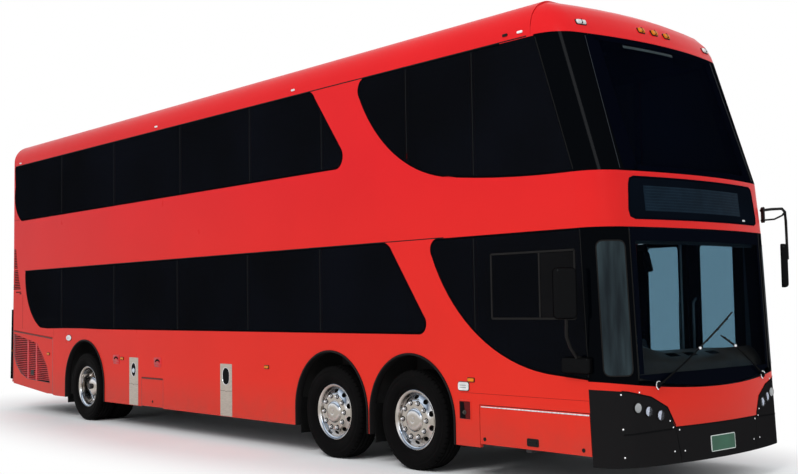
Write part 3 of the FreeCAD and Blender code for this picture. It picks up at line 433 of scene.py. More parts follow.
def circle(count, radius=1.0, start=0.0, turn=2 * math.pi):
    angles = [start + turn * k / count for k in range(count + (abs(turn) < 2 * math.pi))]
    return [(radius * math.cos(a), radius * math.sin(a)) for a in angles]


def arc(start, middle_point, end, count):
    """Points after start on the circle through three points, as far as end."""
    (ax, ay), (bx, by), (cx, cy) = start, middle_point, end
    d = 2 * (ax * (by - cy) + bx * (cy - ay) + cx * (ay - by))
    a2, b2, c2 = ax * ax + ay * ay, bx * bx + by * by, cx * cx + cy * cy
    ux = (a2 * (by - cy) + b2 * (cy - ay) + c2 * (ay - by)) / d
    uy = (a2 * (cx - bx) + b2 * (ax - cx) + c2 * (bx - ax)) / d
    first, mid, last = [math.atan2(y - uy, x - ux) for x, y in (start, middle_point, end)]
    turn = (last - first) % (2 * math.pi)
    if (mid - first) % (2 * math.pi) > turn:
        turn -= 2 * math.pi
    return [(ux + u, uy + v) for u, v in circle(count, math.hypot(ax - ux, ay - uy), first, turn)[1:]]


def curve(start, steps, count):
    """Points along an outline of straight steps and arcs; an arc is a (middle, end) pair."""
    points = [start]
    for step in steps:
        points += arc(points[-1], *step, count) if isinstance(step[0], tuple) else [step]
    return points


def shrunk(outline, amount):
    """Outline with each edge moved in by amount."""
    area = sum(a[0] * b[1] - b[0] * a[1] for a, b in zip(outline, outline[1:] + outline[:1]))
    inward = amount if area > 0 else -amount
    result = []
    for i, point in enumerate(outline):
        before, after = outline[i - 1], outline[(i + 1) % len(outline)]
        d0 = Vector((point[0] - before[0], point[1] - before[1])).normalized()
        d1 = Vector((after[0] - point[0], after[1] - point[1])).normalized()
        mitre = Vector((-d0.y - d1.y, d0.x + d1.x))
        length = max(0.3, mitre.dot(mitre) / 2)
        result.append((point[0] + mitre.x * inward / length, point[1] + mitre.y * inward / length))
    return result


def box(half_u, half_v):
    return [(-half_u, -half_v), (half_u, -half_v), (half_u, half_v), (-half_u, half_v)]


def rounded_box(half_u, half_v, radius, steps=4, centre=(0.0, 0.0)):
    """Outline of a box with rounded corners."""
    outline = []
    for quarter, (su, sv) in enumerate(((1, 1), (-1, 1), (-1, -1), (1, -1))):
        for k in range(steps + 1):
            a = math.pi / 2 * (quarter + k / steps)
            u = su * (half_u - radius) + radius * math.cos(a)
            outline.append((centre[0] + u, centre[1] + sv * (half_v - radius) + radius * math.sin(a)))
    return outline


def oval(half_u, half_v, count):
    return [(half_u * u, half_v * v) for u, v in circle(count)]


# ---------------------------------------------------------------- mesh building
class Shape:
    """Mesh put together from small solids. A named one becomes a piece, which rides on a body and takes its
    look from a finish, or else from its slot."""
    waiting = []

    def __init__(self, name=None, slot=None, finish=None, body="body", replaces=(), smooth=35.0):
        self.bm = bmesh.new()
        self.cutters = None          # another shape, whose solids are cut away from this one
        self.name, self.role = name, (slot, finish, body, replaces, smooth)
        if name:
            Shape.waiting.append(self)

    def mesh(self, points, faces):
        corners = [self.bm.verts.new(p) for p in points]
        for face in faces:
            self.bm.faces.new([corners[i] for i in face])

    def rings(self, rings, caps=True, closed=False):
        """Skin over rings of points, with their ends capped or joined."""
        count, last = len(rings[0]), (len(rings) - 1) * len(rings[0])
        faces = []
        for a in range(len(rings) if closed else len(rings) - 1):
            b = (a + 1) % len(rings)
            for k in range(count):
                n = (k + 1) % count
                faces.append((a * count + k, a * count + n, b * count + n, b * count + k))
        if caps and not closed:
            faces += [tuple(range(count))[::-1], tuple(range(last, last + count))]
        self.mesh([p for ring in rings for p in ring], faces)

    def moulding(self, outline, place, section, caps=False):
        """Skin whose (inset, height) section runs round an outline."""
        self.rings([[place @ Vector((u, v, w)) for u, v in shrunk(outline, d)] for d, w in section], caps)

    def slab(self, outline, place, thick, chamfer=0.0, base=0.0):
        """Plate over an outline, its upper edge chamfered."""
        top = [(0.0, thick - chamfer), (chamfer, thick)] if chamfer else [(0.0, thick)]
        self.moulding(outline, place, [(0.0, base)] + top, True)

    def block(self, size, place, chamfer):
        """Box with chamfered edges all round, about the middle of place."""
        half_u, half_v, half_w = [s / 2 for s in size]
        section = ((chamfer, -half_w), (0.0, chamfer - half_w), (0.0, half_w - chamfer), (chamfer, half_w))
        self.moulding(rounded_box(half_u, half_v, chamfer, 1), place, section, True)

    def lathe(self, profile, place, count):
        """Turned part: a profile of (radius, height) about the Z of place; its ends are closed."""
        self.rings([[place @ Vector((u, v, h)) for u, v in circle(count, r)] for r, h in profile])

    def tube(self, points, radius, count, up=(0.3, 0.2, 1.0)):
        """Round bar through some points, mitred at its bends; radius is one number or one per point."""
        points = [Vector(p) for p in points]
        radii = radius if isinstance(radius, (list, tuple)) else [radius] * len(points)
        rings = []
        for i, p in enumerate(points):
            ahead = (points[min(i + 1, len(points) - 1)] - p).normalized()
            behind = (p - points[max(i - 1, 0)]).normalized()
            along = (ahead + behind).normalized()
            across = Vector(up).cross(along).normalized()
            stretch = 1.0 / max(0.5, along.dot(ahead) if ahead.length else along.dot(behind))
            rings.append([p + (across * u * stretch + along.cross(across) * v) * radii[i]
                          for u, v in circle(count)])
        self.rings(rings)

    def ribbon(self, rows, width, height):
        """Low raised line along (point, normal) rows that lie on a surface."""
        rings = []
        for i, (p, n) in enumerate(rows):
            ahead = rows[min(i + 1, len(rows) - 1)][0] - rows[max(i - 1, 0)][0]
            across = n.cross(ahead).normalized() * width
            section = ((-0.5, -0.3), (-0.35, 1.0), (0.35, 1.0), (0.5, -0.3))
            rings.append([p + across * u + n * v * height for u, v in section])
        self.rings(rings)

    def patch(self, grid, lift=0.001, sink=0.001):
        """Thin plate over rows of (point, normal) on the skin, its edges turned in to the skin."""
        width, depth = len(grid[0]), len(grid)
        flat = [pair for row in grid for pair in row]
        faces = [(i, i + 1, i + width + 1, i + width)
                 for r in range(depth - 1) for i in range(r * width, r * width + width - 1)]
        border = list(range(width)) + [r * width + width - 1 for r in range(1, depth)]
        border += [(depth - 1) * width + k for k in range(width - 2, -1, -1)]
        border += [r * width for r in range(depth - 2, 0, -1)]
        for k, i in enumerate(border):
            n = (k + 1) % len(border)
            faces.append((i, len(flat) + k, len(flat) + n, border[n]))
        self.mesh([p + n * lift for p, n in flat] + [flat[i][0] - flat[i][1] * sink for i in border], faces)

    def copy(self, data, place):
        """Adds a mesh's copy, moved to a place."""
        start = len(self.bm.verts)
        self.bm.from_mesh(data)
        self.bm.verts.ensure_lookup_table()
        bmesh.ops.transform(self.bm, matrix=place, verts=self.bm.verts[start:])

    def solid(self, name):
        """Plain object of what has been built, its normals outward."""
        bmesh.ops.recalc_face_normals(self.bm, faces=self.bm.faces)
        data = bpy.data.meshes.new(name)
        self.bm.to_mesh(data)
        self.bm.free()
        return linked(name, data)

    def pierced(self):
        """Plain object of what has been built, less its cutters."""
        blank, tool = self.solid(self.name), self.cutters.solid(self.name)
        cut = blank.modifiers.new("cut", "BOOLEAN")
        cut.operation, cut.solver, cut.object = "DIFFERENCE", "EXACT", tool
        data = evaluated_mesh(blank, self.name)
        bpy.data.objects.remove(tool)
        return linked(self.name, data)

    def piece(self):
        """Hands the shape over as a piece of the object."""
        Shape.waiting.remove(self)
        slot, finish, body, replaces, smooth = self.role
        obj = self.pierced() if self.cutters else self.solid(self.name)
        data = obj.data
        data.materials.clear()
        data.materials.append(LOOKS[finish or slot].mat)
        data.polygons.foreach_set("use_smooth", [True] * len(data.polygons))
        obj.modifiers.new("split", "EDGE_SPLIT").split_angle = math.radians(smooth)
        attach(obj, body)
        if replaces:
            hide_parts(*replaces)
        return obj


def linked(name, data):
    obj = bpy.data.objects.new(name, data)
    SCENE.collection.objects.link(obj)
    return obj


def evaluated_mesh(obj, name):
    """Mesh of an object with its modifiers applied; the object is removed."""
    graph = bpy.context.evaluated_depsgraph_get()
    data = bpy.data.meshes.new_from_object(obj.evaluated_get(graph), depsgraph=graph)
    data.name = name
    bpy.data.objects.remove(obj)
    return data


NODE_FINISH = {"door_glass_front": "door_glass", "door_glass_rear": "door_glass",
               "upper_windscreen": "upper_glass", "front_bumper": "bumper_skin", "roof": "roof_paint"}
WELD = 0.00005
CAD_SMOOTH = 26.0


def dress_cad_nodes():
    """Each CAD node takes the look of its slot and smooth shading between shallow facets."""
    for row in frame["record"]["subparts"]:
        part = NODES[row["node"]]
        for holder in part.material_slots:
            holder.material = LOOKS[NODE_FINISH.get(row["node"], row["material_slot"])].mat
        part.data.polygons.foreach_set("use_smooth", [True] * len(part.data.polygons))
        part.modifiers.new("weld", "WELD").merge_threshold = WELD
        part.modifiers.new("split", "EDGE_SPLIT").split_angle = math.radians(CAD_SMOOTH)


# ---------------------------------------------------------------- wheels and tyres
TYRE_LOW, TYRE_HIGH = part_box("tyre_1_left")
TYRE_R = (TYRE_HIGH[2] - TYRE_LOW[2]) / 2
TYRE_HALF = (TYRE_HIGH[1] - TYRE_LOW[1]) / 2
RIM_R = (span("rim_1_left", "x")[1] - span("rim_1_left", "x")[0]) / 2
TRACK_Y = 1.097              # middle of the single and the outer twin tyres
TWIN_PITCH = 0.310
NUTS, NUT_R = 10, 0.1675
SIPES = 54                   # shoulder blocks round a tyre
WALL_H = 0.1375              # half width that the wall's section is drawn to
# sections as (radius, height); height runs outward along the axle
WALL = [(0.003, 0.096), (0.010, 0.110), (0.022, 0.117), (0.034, 0.1185), (0.038, 0.1235), (0.060, 0.13),
        (0.088, 0.1352), (0.114, WALL_H), (0.118, 0.1358), (0.138, 0.1345), (0.142, 0.1362), (0.158, 0.131),
        (0.172, 0.1225)]     # radius from the rim
RIM_LIP = [(0.2855, 0.088), (0.2885, 0.098), (0.2885, 0.1045), (0.284, 0.1065), (0.277, 0.1035)]
FRONT_RIM = [(0.079, -0.097), (0.079, 0.034), (0.180, 0.060), (0.236, 0.036), (0.256, 0.028), (0.262, -0.020),
             (0.262, -0.066), (0.278, -0.094), (0.281, -0.103), (0.2855, -0.1045), (0.2855, -0.090),
             (0.276, -0.066), (0.270, 0.020), (0.276, 0.066), (0.2855, 0.086)] + RIM_LIP[1:] + [
             (0.268, 0.100), (0.260, 0.0945), (0.2545, 0.082), (0.250, 0.066), (0.2435, 0.059),
             (0.236, 0.0615), (0.212, 0.076), (0.197, 0.0885), (0.190, 0.0995), (0.183, 0.1045),
             (0.174, 0.1055), (0.105, 0.106), (0.094, 0.106)]
HUB_CAP = [(0.090, 0.020), (0.115, 0.105), (0.116, 0.1085), (0.1135, 0.111), (0.111, 0.11), (0.109, 0.113),
           (0.104, 0.122), (0.093, 0.129), (0.076, 0.133), (0.05, 0.1352), (0.025, 0.136), (0.0235, 0.1352),
           (0.022, 0.1368), (0.01, 0.1375)]
NUT = [(0.0175, 0.0), (0.0175, 0.004), (0.0155, 0.005), (0.0155, 0.017), (0.014, 0.024), (0.0095, 0.029),
       (0.0045, 0.0305)]
# profile of the thin dark ring round each nut: painted shadow
NUT_SHADOW_RING = [(0.0275, 0.1045), (0.027, 0.1066), (0.016, 0.1072)]
BRAKE_DRUM = [(0.100, -0.088), (0.215, -0.088), (0.226, -0.078), (0.226, -0.020), (0.236, -0.014),
              (0.236, 0.018), (0.228, 0.026), (0.100, 0.032)]
REAR_RIM = [(0.104, -0.093), (0.104, -0.060), (0.236, -0.062), (0.252, -0.050), (0.262, 0.0),
            (0.270, 0.050)] + RIM_LIP + [(0.269, 0.100), (0.262, 0.0935), (0.257, 0.082), (0.252, 0.050),
            (0.247, 0.0), (0.243, -0.028), (0.236, -0.0425), (0.222, -0.0465), (0.120, -0.047)]
REAR_HUB = [(0.106, -0.090), (0.128, -0.046), (0.131, -0.010), (0.1315, 0.018), (0.1285, 0.027),
            (0.122, 0.032), (0.105, 0.039), (0.082, 0.045), (0.055, 0.0495), (0.028, 0.0518), (0.004, 0.0525)]
HUB_COLLAR = [(0.120, -0.0465), (0.152, -0.0465), (0.150, -0.04), (0.136, -0.034), (0.133, 0.012),
              (0.120, 0.014)]
INNER_RIM = [(0.104, 0.070), (0.236, 0.073), (0.252, 0.060), (0.262, 0.0), (0.270, -0.060), (0.2855, -0.088),
             (0.2855, -0.1045), (0.278, -0.1045), (0.262, -0.090), (0.252, -0.040), (0.246, 0.020),
             (0.236, 0.047), (0.104, 0.050)]
TWIN_SPACER = [(0.041, -0.095), (0.100, -0.095), (0.100, 0.190), (0.041, 0.190)]


def tyre_section():
    """(radius, height, rib) round one tyre, from bead to bead; rib marks the tread's edges that are siped."""
    rows = [(RIM_R + r, h * TYRE_HALF / WALL_H, 0) for r, h in WALL]
    top = TYRE_R - 0.0015
    rows += [(top - 0.006, 0.113, 1), (top - 0.001, 0.104, 1), (top, 0.084, 1)]
    for centre in (0.073, 0.026):
        rows += [(top, centre + 0.0065, 0), (top - 0.012, centre + 0.004, 0),
                 (top - 0.012, centre - 0.004, 0), (top, centre - 0.0065, 0)]
    return rows + [(r, -h, rib) for r, h, rib in reversed(rows)]


def add_tyre(shape, centre, side):
    """Tyre about the Y axis through centre: grooved tread with siped shoulders and ribbed walls."""
    rings = []
    for k in range(SIPES):
        for part, sunk in ((0.0, 0.0), (0.03, 0.008), (0.17, 0.008), (0.20, 0.0)):
            a = 2 * math.pi * (k + part) / SIPES
            rings.append([(centre[0] + (r - sunk * rib) * math.sin(a), centre[1] + side * h,
                           centre[2] + (r - sunk * rib) * math.cos(a)) for r, h, rib in tyre_section()])
    shape.rings(rings, closed=True)


def around(count, radius, place, start=0.0):
    """Matrices at even steps on a circle about the Z of place, their X pointing outward."""
    for k in range(count):
        yield place @ Matrix.Rotation(start + 2 * math.pi * k / count, 4, "Z") @ at(radius, 0, 0)


def rim_piece(name, profile, place, hole_r, hole_h, body, node_name):
    """Turned wheel with ten oval hand-holes let through its disc."""
    shape = Shape(name, "wheel_chrome", None, body, (node_name,), 32)
    shape.lathe(profile, place, 80)
    shape.cutters = Shape()
    for spot in around(NUTS, hole_r, place, math.pi / NUTS):
        shape.cutters.slab(oval(0.0205, 0.0295, 16), spot, 0.09, base=hole_h - 0.06)


def front_wheel(name, side):
    x, _, z = middle("tyre_" + name)
    body = "wheel_" + name
    place = basis((x, side * TRACK_Y, z), (0, side, 0))
    rim_piece("disc_wheel_" + name, FRONT_RIM, place, 0.2165, 0.06, body, "rim_" + name)
    # dark rings round the nuts: painted shadow
    nut_shadows = Shape("nut_shadow_rings_" + name, "wheel_chrome", "dark", body)
    nuts = Shape("wheel_nuts_" + name, "wheel_chrome", "chrome", body, smooth=38)
    for spot in around(NUTS, NUT_R, place):
        nuts.lathe(NUT, spot @ at(0, 0, 0.1055), 12)
        nut_shadows.lathe(NUT_SHADOW_RING, spot, 16)
    Shape("hub_cap_" + name, "wheel_chrome", None, body, smooth=38).lathe(HUB_CAP, place, 56)
    Shape("brake_drum_" + name, "frame_steel", "cast_iron", body).lathe(BRAKE_DRUM, place, 48)
    rubber = Shape("tread_tyre_" + name, "tyre", None, body, ("tyre_" + name,), 40)
    add_tyre(rubber, (x, side * TRACK_Y, z), side)


def rear_wheels(tag, side):
    x, _, z = middle("twin_rims_" + tag)
    body = "twin_wheels_" + tag
    place, inner = [basis((x, side * y, z), (0, side, 0)) for y in (TRACK_Y, TRACK_Y - TWIN_PITCH)]
    rim_piece("dished_wheel_" + tag, REAR_RIM, place, 0.2045, -0.05, body, "twin_rims_" + tag)
    Shape("hub_collar_" + tag, "frame_steel", "dark", body).lathe(HUB_COLLAR, place, 48)
    hub = Shape("drive_hub_" + tag, "wheel_chrome", None, body, smooth=38)
    hub.lathe(REAR_HUB, place, 48)
    for spot in around(NUTS, NUT_R, place):
        hub.lathe(NUT, spot @ at(0, 0, -0.047), 12)
    inside = Shape("inner_wheel_" + tag, "wheel_chrome", "cast_iron", body)
    inside.lathe(INNER_RIM, inner, 64)
    inside.lathe(TWIN_SPACER, inner, 40)
    rubber = Shape("tread_tyres_rear_" + tag, "tyre", None, body, ("twin_tyres_" + tag,), 40)
    for y in (TRACK_Y, TRACK_Y - TWIN_PITCH):
        add_tyre(rubber, (x, side * y, z), side)


def make_wheels():
    for tag, side in (("left", 1), ("right", -1)):
        for number in "12":
            front_wheel("%s_%s" % (number, tag), side)
        rear_wheels(tag, side)


# ---------------------------------------------------------------- side body detail
ARCHES = [(middle("tyre_1_left").x, 0.607, 0.499), (middle("tyre_2_left").x, 0.607, 0.499),
          (middle("twin_tyres_left").x, 0.617, 0.520)]       # x, radius and centre height
ARCH_LIP = [(0.001, -0.075), (-0.007, -0.070), (-0.008, 0.006), (-0.003, 0.012), (0.011, 0.012),
            (0.015, 0.007), (0.015, -0.002), (0.001, -0.004)]       # (outward from the arch, from the side)
UPPER_JOINTS = [(x, 3.02, 3.90) for x in (-4.195, -2.505, -0.695, 0.895)] + [
    (2.275, 3.02, 3.66), (3.649, 3.06, 3.90), (4.564, 2.74, 3.90)]
LOWER_JOINTS = [(x, 1.315, 2.195) for x in (-4.195, -2.505, -0.775, 0.835, 2.225)]
DRIVER_JOINT = (4.545, 1.28, 2.19)                           # x, foot and top, as all of these


def arch_lips():
    """Black flanged rubber round each wheel arch."""
    lips = Shape("arch_lips", "black_plastic", "spring_rubber", smooth=50)
    for side in (-1, 1):
        for x, radius, z in ARCHES:
            stations = [((x - radius, SKIRT_Z), (-1, 0))]
            stations += [((x + radius * u, z + radius * v), (u, v))
                         for u, v in circle(36, 1.0, math.pi, -math.pi)]
            stations.append(((x + radius, SKIRT_Z), (1, 0)))
            lips.rings([[(p[0] + n[0] * u, side * (HALF_W + v), p[1] + n[1] * u) for u, v in ARCH_LIP]
                        for p, n in stations])


def side_path(points, side, step=0.25):
    """Rows of skin points and normals along straight runs through (x, z) points on a side."""
    return [on_side(x, z, side) for x, z in path(points, step)]


def side_seams():
    """Joints between the panels of the sides: gutter, belt, rear corners and the driver's front panel."""
    black = Shape("body_joints", "black_plastic", "seam")
    red = Shape("panel_seams", "red_paint", "red_seam")
    for side in (-1, 1):
        for shape, step, width, height, *points in (
                (black, 0.25, 0.012, 0.0025, (-6.12, 3.905), (-5.95, 3.905), (5.25, 3.905)),
                (black, 0.8, 0.010, 0.002, (-5.55, 2.205), (4.15, 2.205)),
                (red, 0.25, 0.006, 0.0012, (-6.075, 1.62), (-6.075, 3.89)),
                (red, 0.25, 0.005, 0.0012, (-5.625, 1.29), (-5.625, 1.83)),
                (red, 0.05, 0.006, 0.0012, (-6.14, 3.03), (-5.72, 3.03)),
                (red, 0.25, 0.003, 0.0008, (-4.455, 1.18), (-4.455, 1.30))):
            shape.ribbon(side_path(points, side, step), width, height)
    red.ribbon(side_path([(4.345, 0.78), (5.85, 0.78)], -1, 0.5), 0.003, 0.0008)


def window_seals():
    """Black rubber in the joints between the flush panes."""
    seals = Shape("pane_seals", "black_plastic", "seam")
    for side in (-1, 1):
        for x, z0, z1 in UPPER_JOINTS + LOWER_JOINTS + ([DRIVER_JOINT] if side < 0 else []):
            seals.block((0.0096, z1 - z0, 0.011), side_place(x, (z0 + z1) / 2, side, -0.006), 0.001)


def marker(lenses, frames, spot):
    frames.slab(rounded_box(0.047, 0.021, 0.010), spot, 0.006, 0.002, -0.002)
    lenses.slab(rounded_box(0.040, 0.0145, 0.008), spot, 0.013, 0.004)


MARKERS = ((-6.082, 0.933), (-2.258, 0.910), (1.212, 0.907))             # (x, z), as all of these
FRONT_MARKER_X, FRONT_MARKER_Z = {-1: 4.480, 1: 4.420}, 0.897
HIGH_LAMPS = ((5.177, 3.955), (1.775, 3.967), (-1.302, 3.960), (-5.735, 3.940))
HANDLES = ((-2.425, 0.907), (-1.275, 0.900))


def marker_lamps():
    """Amber side markers in low black frames, and small white and black lamps."""
    lenses = Shape("side_markers", "lamp_amber")
    frames = Shape("lamp_frames", "black_plastic")
    clear = Shape("side_lamps", "lamp_clear", "white_lens")
    for side in (-1, 1):
        def spot_at(x, z):
            return basis(*on_side(x, z, side))

        for x, z in MARKERS + ((FRONT_MARKER_X[side], FRONT_MARKER_Z),):
            marker(lenses, frames, spot_at(x, z))
        for x, z, outline in ((-3.925, 1.167, oval(0.082, 0.042, 28)),
                              (4.383, 0.836, rounded_box(0.068, 0.038, 0.020))):
            spot = spot_at(x, z)
            frames.slab(shrunk(outline, -0.006), spot, 0.006, 0.003, -0.002)
            clear.slab(outline, spot, 0.013, 0.006)
            for v in (-0.010, 0.010):
                frames.slab(box(0.040, 0.0018), spot @ at(0, v, 0), 0.0140, 0.0005, 0.006)
        for x, z in HIGH_LAMPS:
            clear.slab(rounded_box(0.032, 0.011, 0.008), spot_at(x, z), 0.010, 0.003, -0.002)
        frames.slab(rounded_box(0.030, 0.012, 0.008), spot_at(4.998, 3.96), 0.010, 0.003, -0.002)


def recessed_handles():
    """Rounded red bowls with a dark finger hollow, on the driver's side."""
    bowls = Shape("handle_bowls", "red_paint", "red_plastic", smooth=50)
    hollows = Shape("handle_hollows", "black_plastic", "dark")
    hollow = [(0.062 * u, 0.040 * v - 0.012) for u, v in circle(12, 1.0, 0.0, math.pi)]
    hollow += [(0.040 * u, 0.016 * v - 0.012) for u, v in circle(12, 1.0, math.pi, -math.pi)]
    for x, z in HANDLES:
        spot = side_place(x, z, -1)
        bowls.slab(rounded_box(0.098, 0.050, 0.022), spot, 0.006, 0.004, -0.002)
        bowls.slab(rounded_box(0.086, 0.018, 0.012), spot @ at(0, -0.058, 0), 0.004, 0.002, -0.002)
        hollows.slab(hollow, spot, 0.0075, 0.0, 0.002)


def stainless_strips():
    """Upright brushed strips with a filler opening in each, on the driver's side."""
    strips = Shape("stainless_strips", "sheet_steel", "stainless")
    rims = Shape("filler_rims", "sheet_steel", "chrome")
    holes = Shape("filler_openings", "black_plastic", "dark")
    cap = Shape("filler_cap", "black_plastic", "mirror_glass")
    lines = Shape("strip_joints", "black_plastic", "seam")
    foot = SKIRT_Z + 0.004
    for x0, x1, top, hole, joint_x, joint_z in (
            (-2.048, -1.802, 0.933, oval(0.062, 0.088, 24), -1.925, 0.58),
            (0.235, 0.492, 0.917, rounded_box(0.072, 0.097, 0.070, 8), 0.363, 0.60)):
        mid = (x0 + x1) / 2
        strips.slab(rounded_box((x1 - x0) / 2, (top - foot) / 2, 0.006, 2),
                    side_place(mid, (top + foot) / 2, -1), 0.003, 0.001, -0.001)
        centre = side_place(mid, 0.772, -1)
        holes.slab(hole, centre, 0.0036, 0.0, 0.002)
        rims.moulding(hole, centre, ((-0.007, 0.003), (-0.006, 0.0065), (-0.001, 0.0065), (0.001, 0.003)))
        lines.ribbon([(side_place(joint_x + dx, joint_z + dz, -1, 0.003).to_translation(), Vector((0, -1, 0)))
                      for dx, dz in ((-0.12, 0.0), (-0.03, 0.0), (0.0, -0.012), (0.03, 0.0), (0.12, 0.0))],
                     0.004, 0.0008)
    cap.lathe([(0.034, 0.0034), (0.034, 0.006), (0.028, 0.012), (0.010, 0.014)],
              side_place(-1.925, 0.760, -1), 24)


def flap_fittings():
    """Hinge strips, latches and locks of the lift-up flaps; they move with their flaps."""
    x0, x1 = span("front_locker_flap", "x")
    top = span("front_locker_flap", "z")[1]
    hinge = Shape("front_flap_hinge", "sheet_steel", "chrome", "front_locker")
    hinge.block((x1 - x0 - 0.03, 0.011, 0.006), side_place((x0 + x1) / 2, top - 0.012, -1, 0.0025), 0.002)
    small = Shape("front_flap_latch", "black_plastic", None, "front_locker")
    for x in (x0 + 0.055, x1 - 0.085):
        small.lathe([(0.017, -0.002), (0.017, 0.004), (0.013, 0.007), (0.006, 0.005)],
                    side_place(x, 0.378, -1), 20)
    latch = side_place((x0 + x1) / 2 - 0.005, 0.394, -1)
    small.slab(rounded_box(0.068, 0.034, 0.014), latch, 0.006, 0.003, -0.002)
    small.slab(rounded_box(0.046, 0.013, 0.006), latch, 0.012, 0.003, 0.004)
    x0, x1 = span("small_locker_flap", "x")
    lock = Shape("small_flap_lock", "black_plastic", None, "small_locker")
    lock.lathe([(0.015, -0.002), (0.015, 0.004), (0.011, 0.006), (0.005, 0.004)],
               side_place(x1 - 0.27, 0.375, -1), 20)
    hinge = Shape("small_flap_hinge", "sheet_steel", "cast_iron", "small_locker")
    hinge.block((x1 - x0 - 0.02, 0.011, 0.010), side_place((x0 + x1) / 2, 0.670, -1, 0.004), 0.003)


def valve_recess():
    """Small recess with an air valve in it, ahead of the first axle on the driver's side; the recess floor is
    a darker red, painted shade, and a dark slab over part of it is a painted shadow.
    """
    spot = side_place(4.394, 0.621, -1)
    outer = rounded_box(0.081, 0.091, 0.014)
    Shape("valve_frame", "red_paint").moulding(
        outer, spot, ((0.0, -0.001), (0.001, 0.004), (0.010, 0.004), (0.012, 0.0005)))
    # darker red floor of the recess: painted shade
    Shape("valve_hollow", "red_paint", "hollow_red_painted_shade").slab(shrunk(outer, 0.010), spot, 0.0022, 0.0, -0.001)
    # dark slab over part of the recess: painted shadow of its frame
    Shape("valve_shade", "black_plastic", "dark").slab(
        [(-0.062, -0.074), (0.010, -0.074), (-0.012, 0.072), (-0.062, 0.072)], spot, 0.0028, 0.0, 0.001)
    Shape("air_valve", "sheet_steel", "cast_iron").lathe(
        [(0.020, 0.002), (0.020, 0.008), (0.012, 0.010), (0.012, 0.022), (0.004, 0.024)],
        spot @ at(0, -0.02, 0), 20)


def driver_window():
    """Frame of the driver's sliding window, its front half slid open."""
    bars = Shape("driver_window_frame", "black_plastic")
    x0, mid, x1, z0, z1 = 4.765, 5.335, 5.725, 1.45, 2.02
    for a, b in (((x0, z0), (x1, z0)), ((x1, z0), (x1, z1)), ((x1, z1), (x0, z1)), ((x0, z1), (x0, z0)),
                 ((mid, z0), (mid, z1))):
        bars.ribbon(side_path([a, b], -1, 0.3), 0.022, 0.005)
    Shape("driver_window_opening", "black_plastic", "dark").slab(
        rounded_box((x1 - mid) / 2 - 0.012, (z1 - z0) / 2 - 0.012, 0.02),
        side_place((mid + x1) / 2, (z0 + z1) / 2, -1), 0.0016)


# ---------------------------------------------------------------- engine doors and rear grilles
GRILLE = [(-5.955, 1.204), (-5.075, 1.067), (-4.875, 0.900), (-4.708, 0.733), (-4.590, 0.480),
          (-5.300, 0.505), (-5.442, 0.517), (-5.675, 0.583), (-5.875, 0.733), (-5.955, 0.850)]
GRILLE_POSTS = ((-5.442, -5.392), (-5.125, -5.075))
DOOR_OUTLINE = [(-4.496, 0.318), (-4.496, 1.160), (-5.979, 1.262), (-5.979, 0.420), (-4.700, 0.318)]
DOOR_TOP_SLOPE = 0.0688
LOUVRES, LOUVRE_FOOT, LOUVRE_PITCH, LOUVRE_MIN = 24, 0.512, 0.0285, 0.03
BLADE = ((0.0, -0.003), (0.0085, -0.001), (0.015, -0.018), (0.011, -0.0205))       # (height, outward)
UPPER_GRILLE = [(-6.018, 2.570), (-5.902, 2.570), (-5.850, 2.300), (-5.770, 2.050), (-5.675, 1.833),
                (-6.042, 1.900)]
UPPER_PITCH, UPPER_PANELS = 0.0265, ((1.845, 15), (2.262, 12))                     # foot and louvre count


def crossings(outline, level, axis=1):
    """Sorted places along one axis where an outline crosses a level of the other."""
    found = []
    for a, b in zip(outline, outline[1:] + outline[:1]):
        if (a[axis] - level) * (b[axis] - level) < 0:
            t = (level - a[axis]) / (b[axis] - a[axis])
            found.append(a[1 - axis] + (b[1 - axis] - a[1 - axis]) * t)
    return sorted(found)


def pairs(values):
    return zip(values[::2], values[1::2])


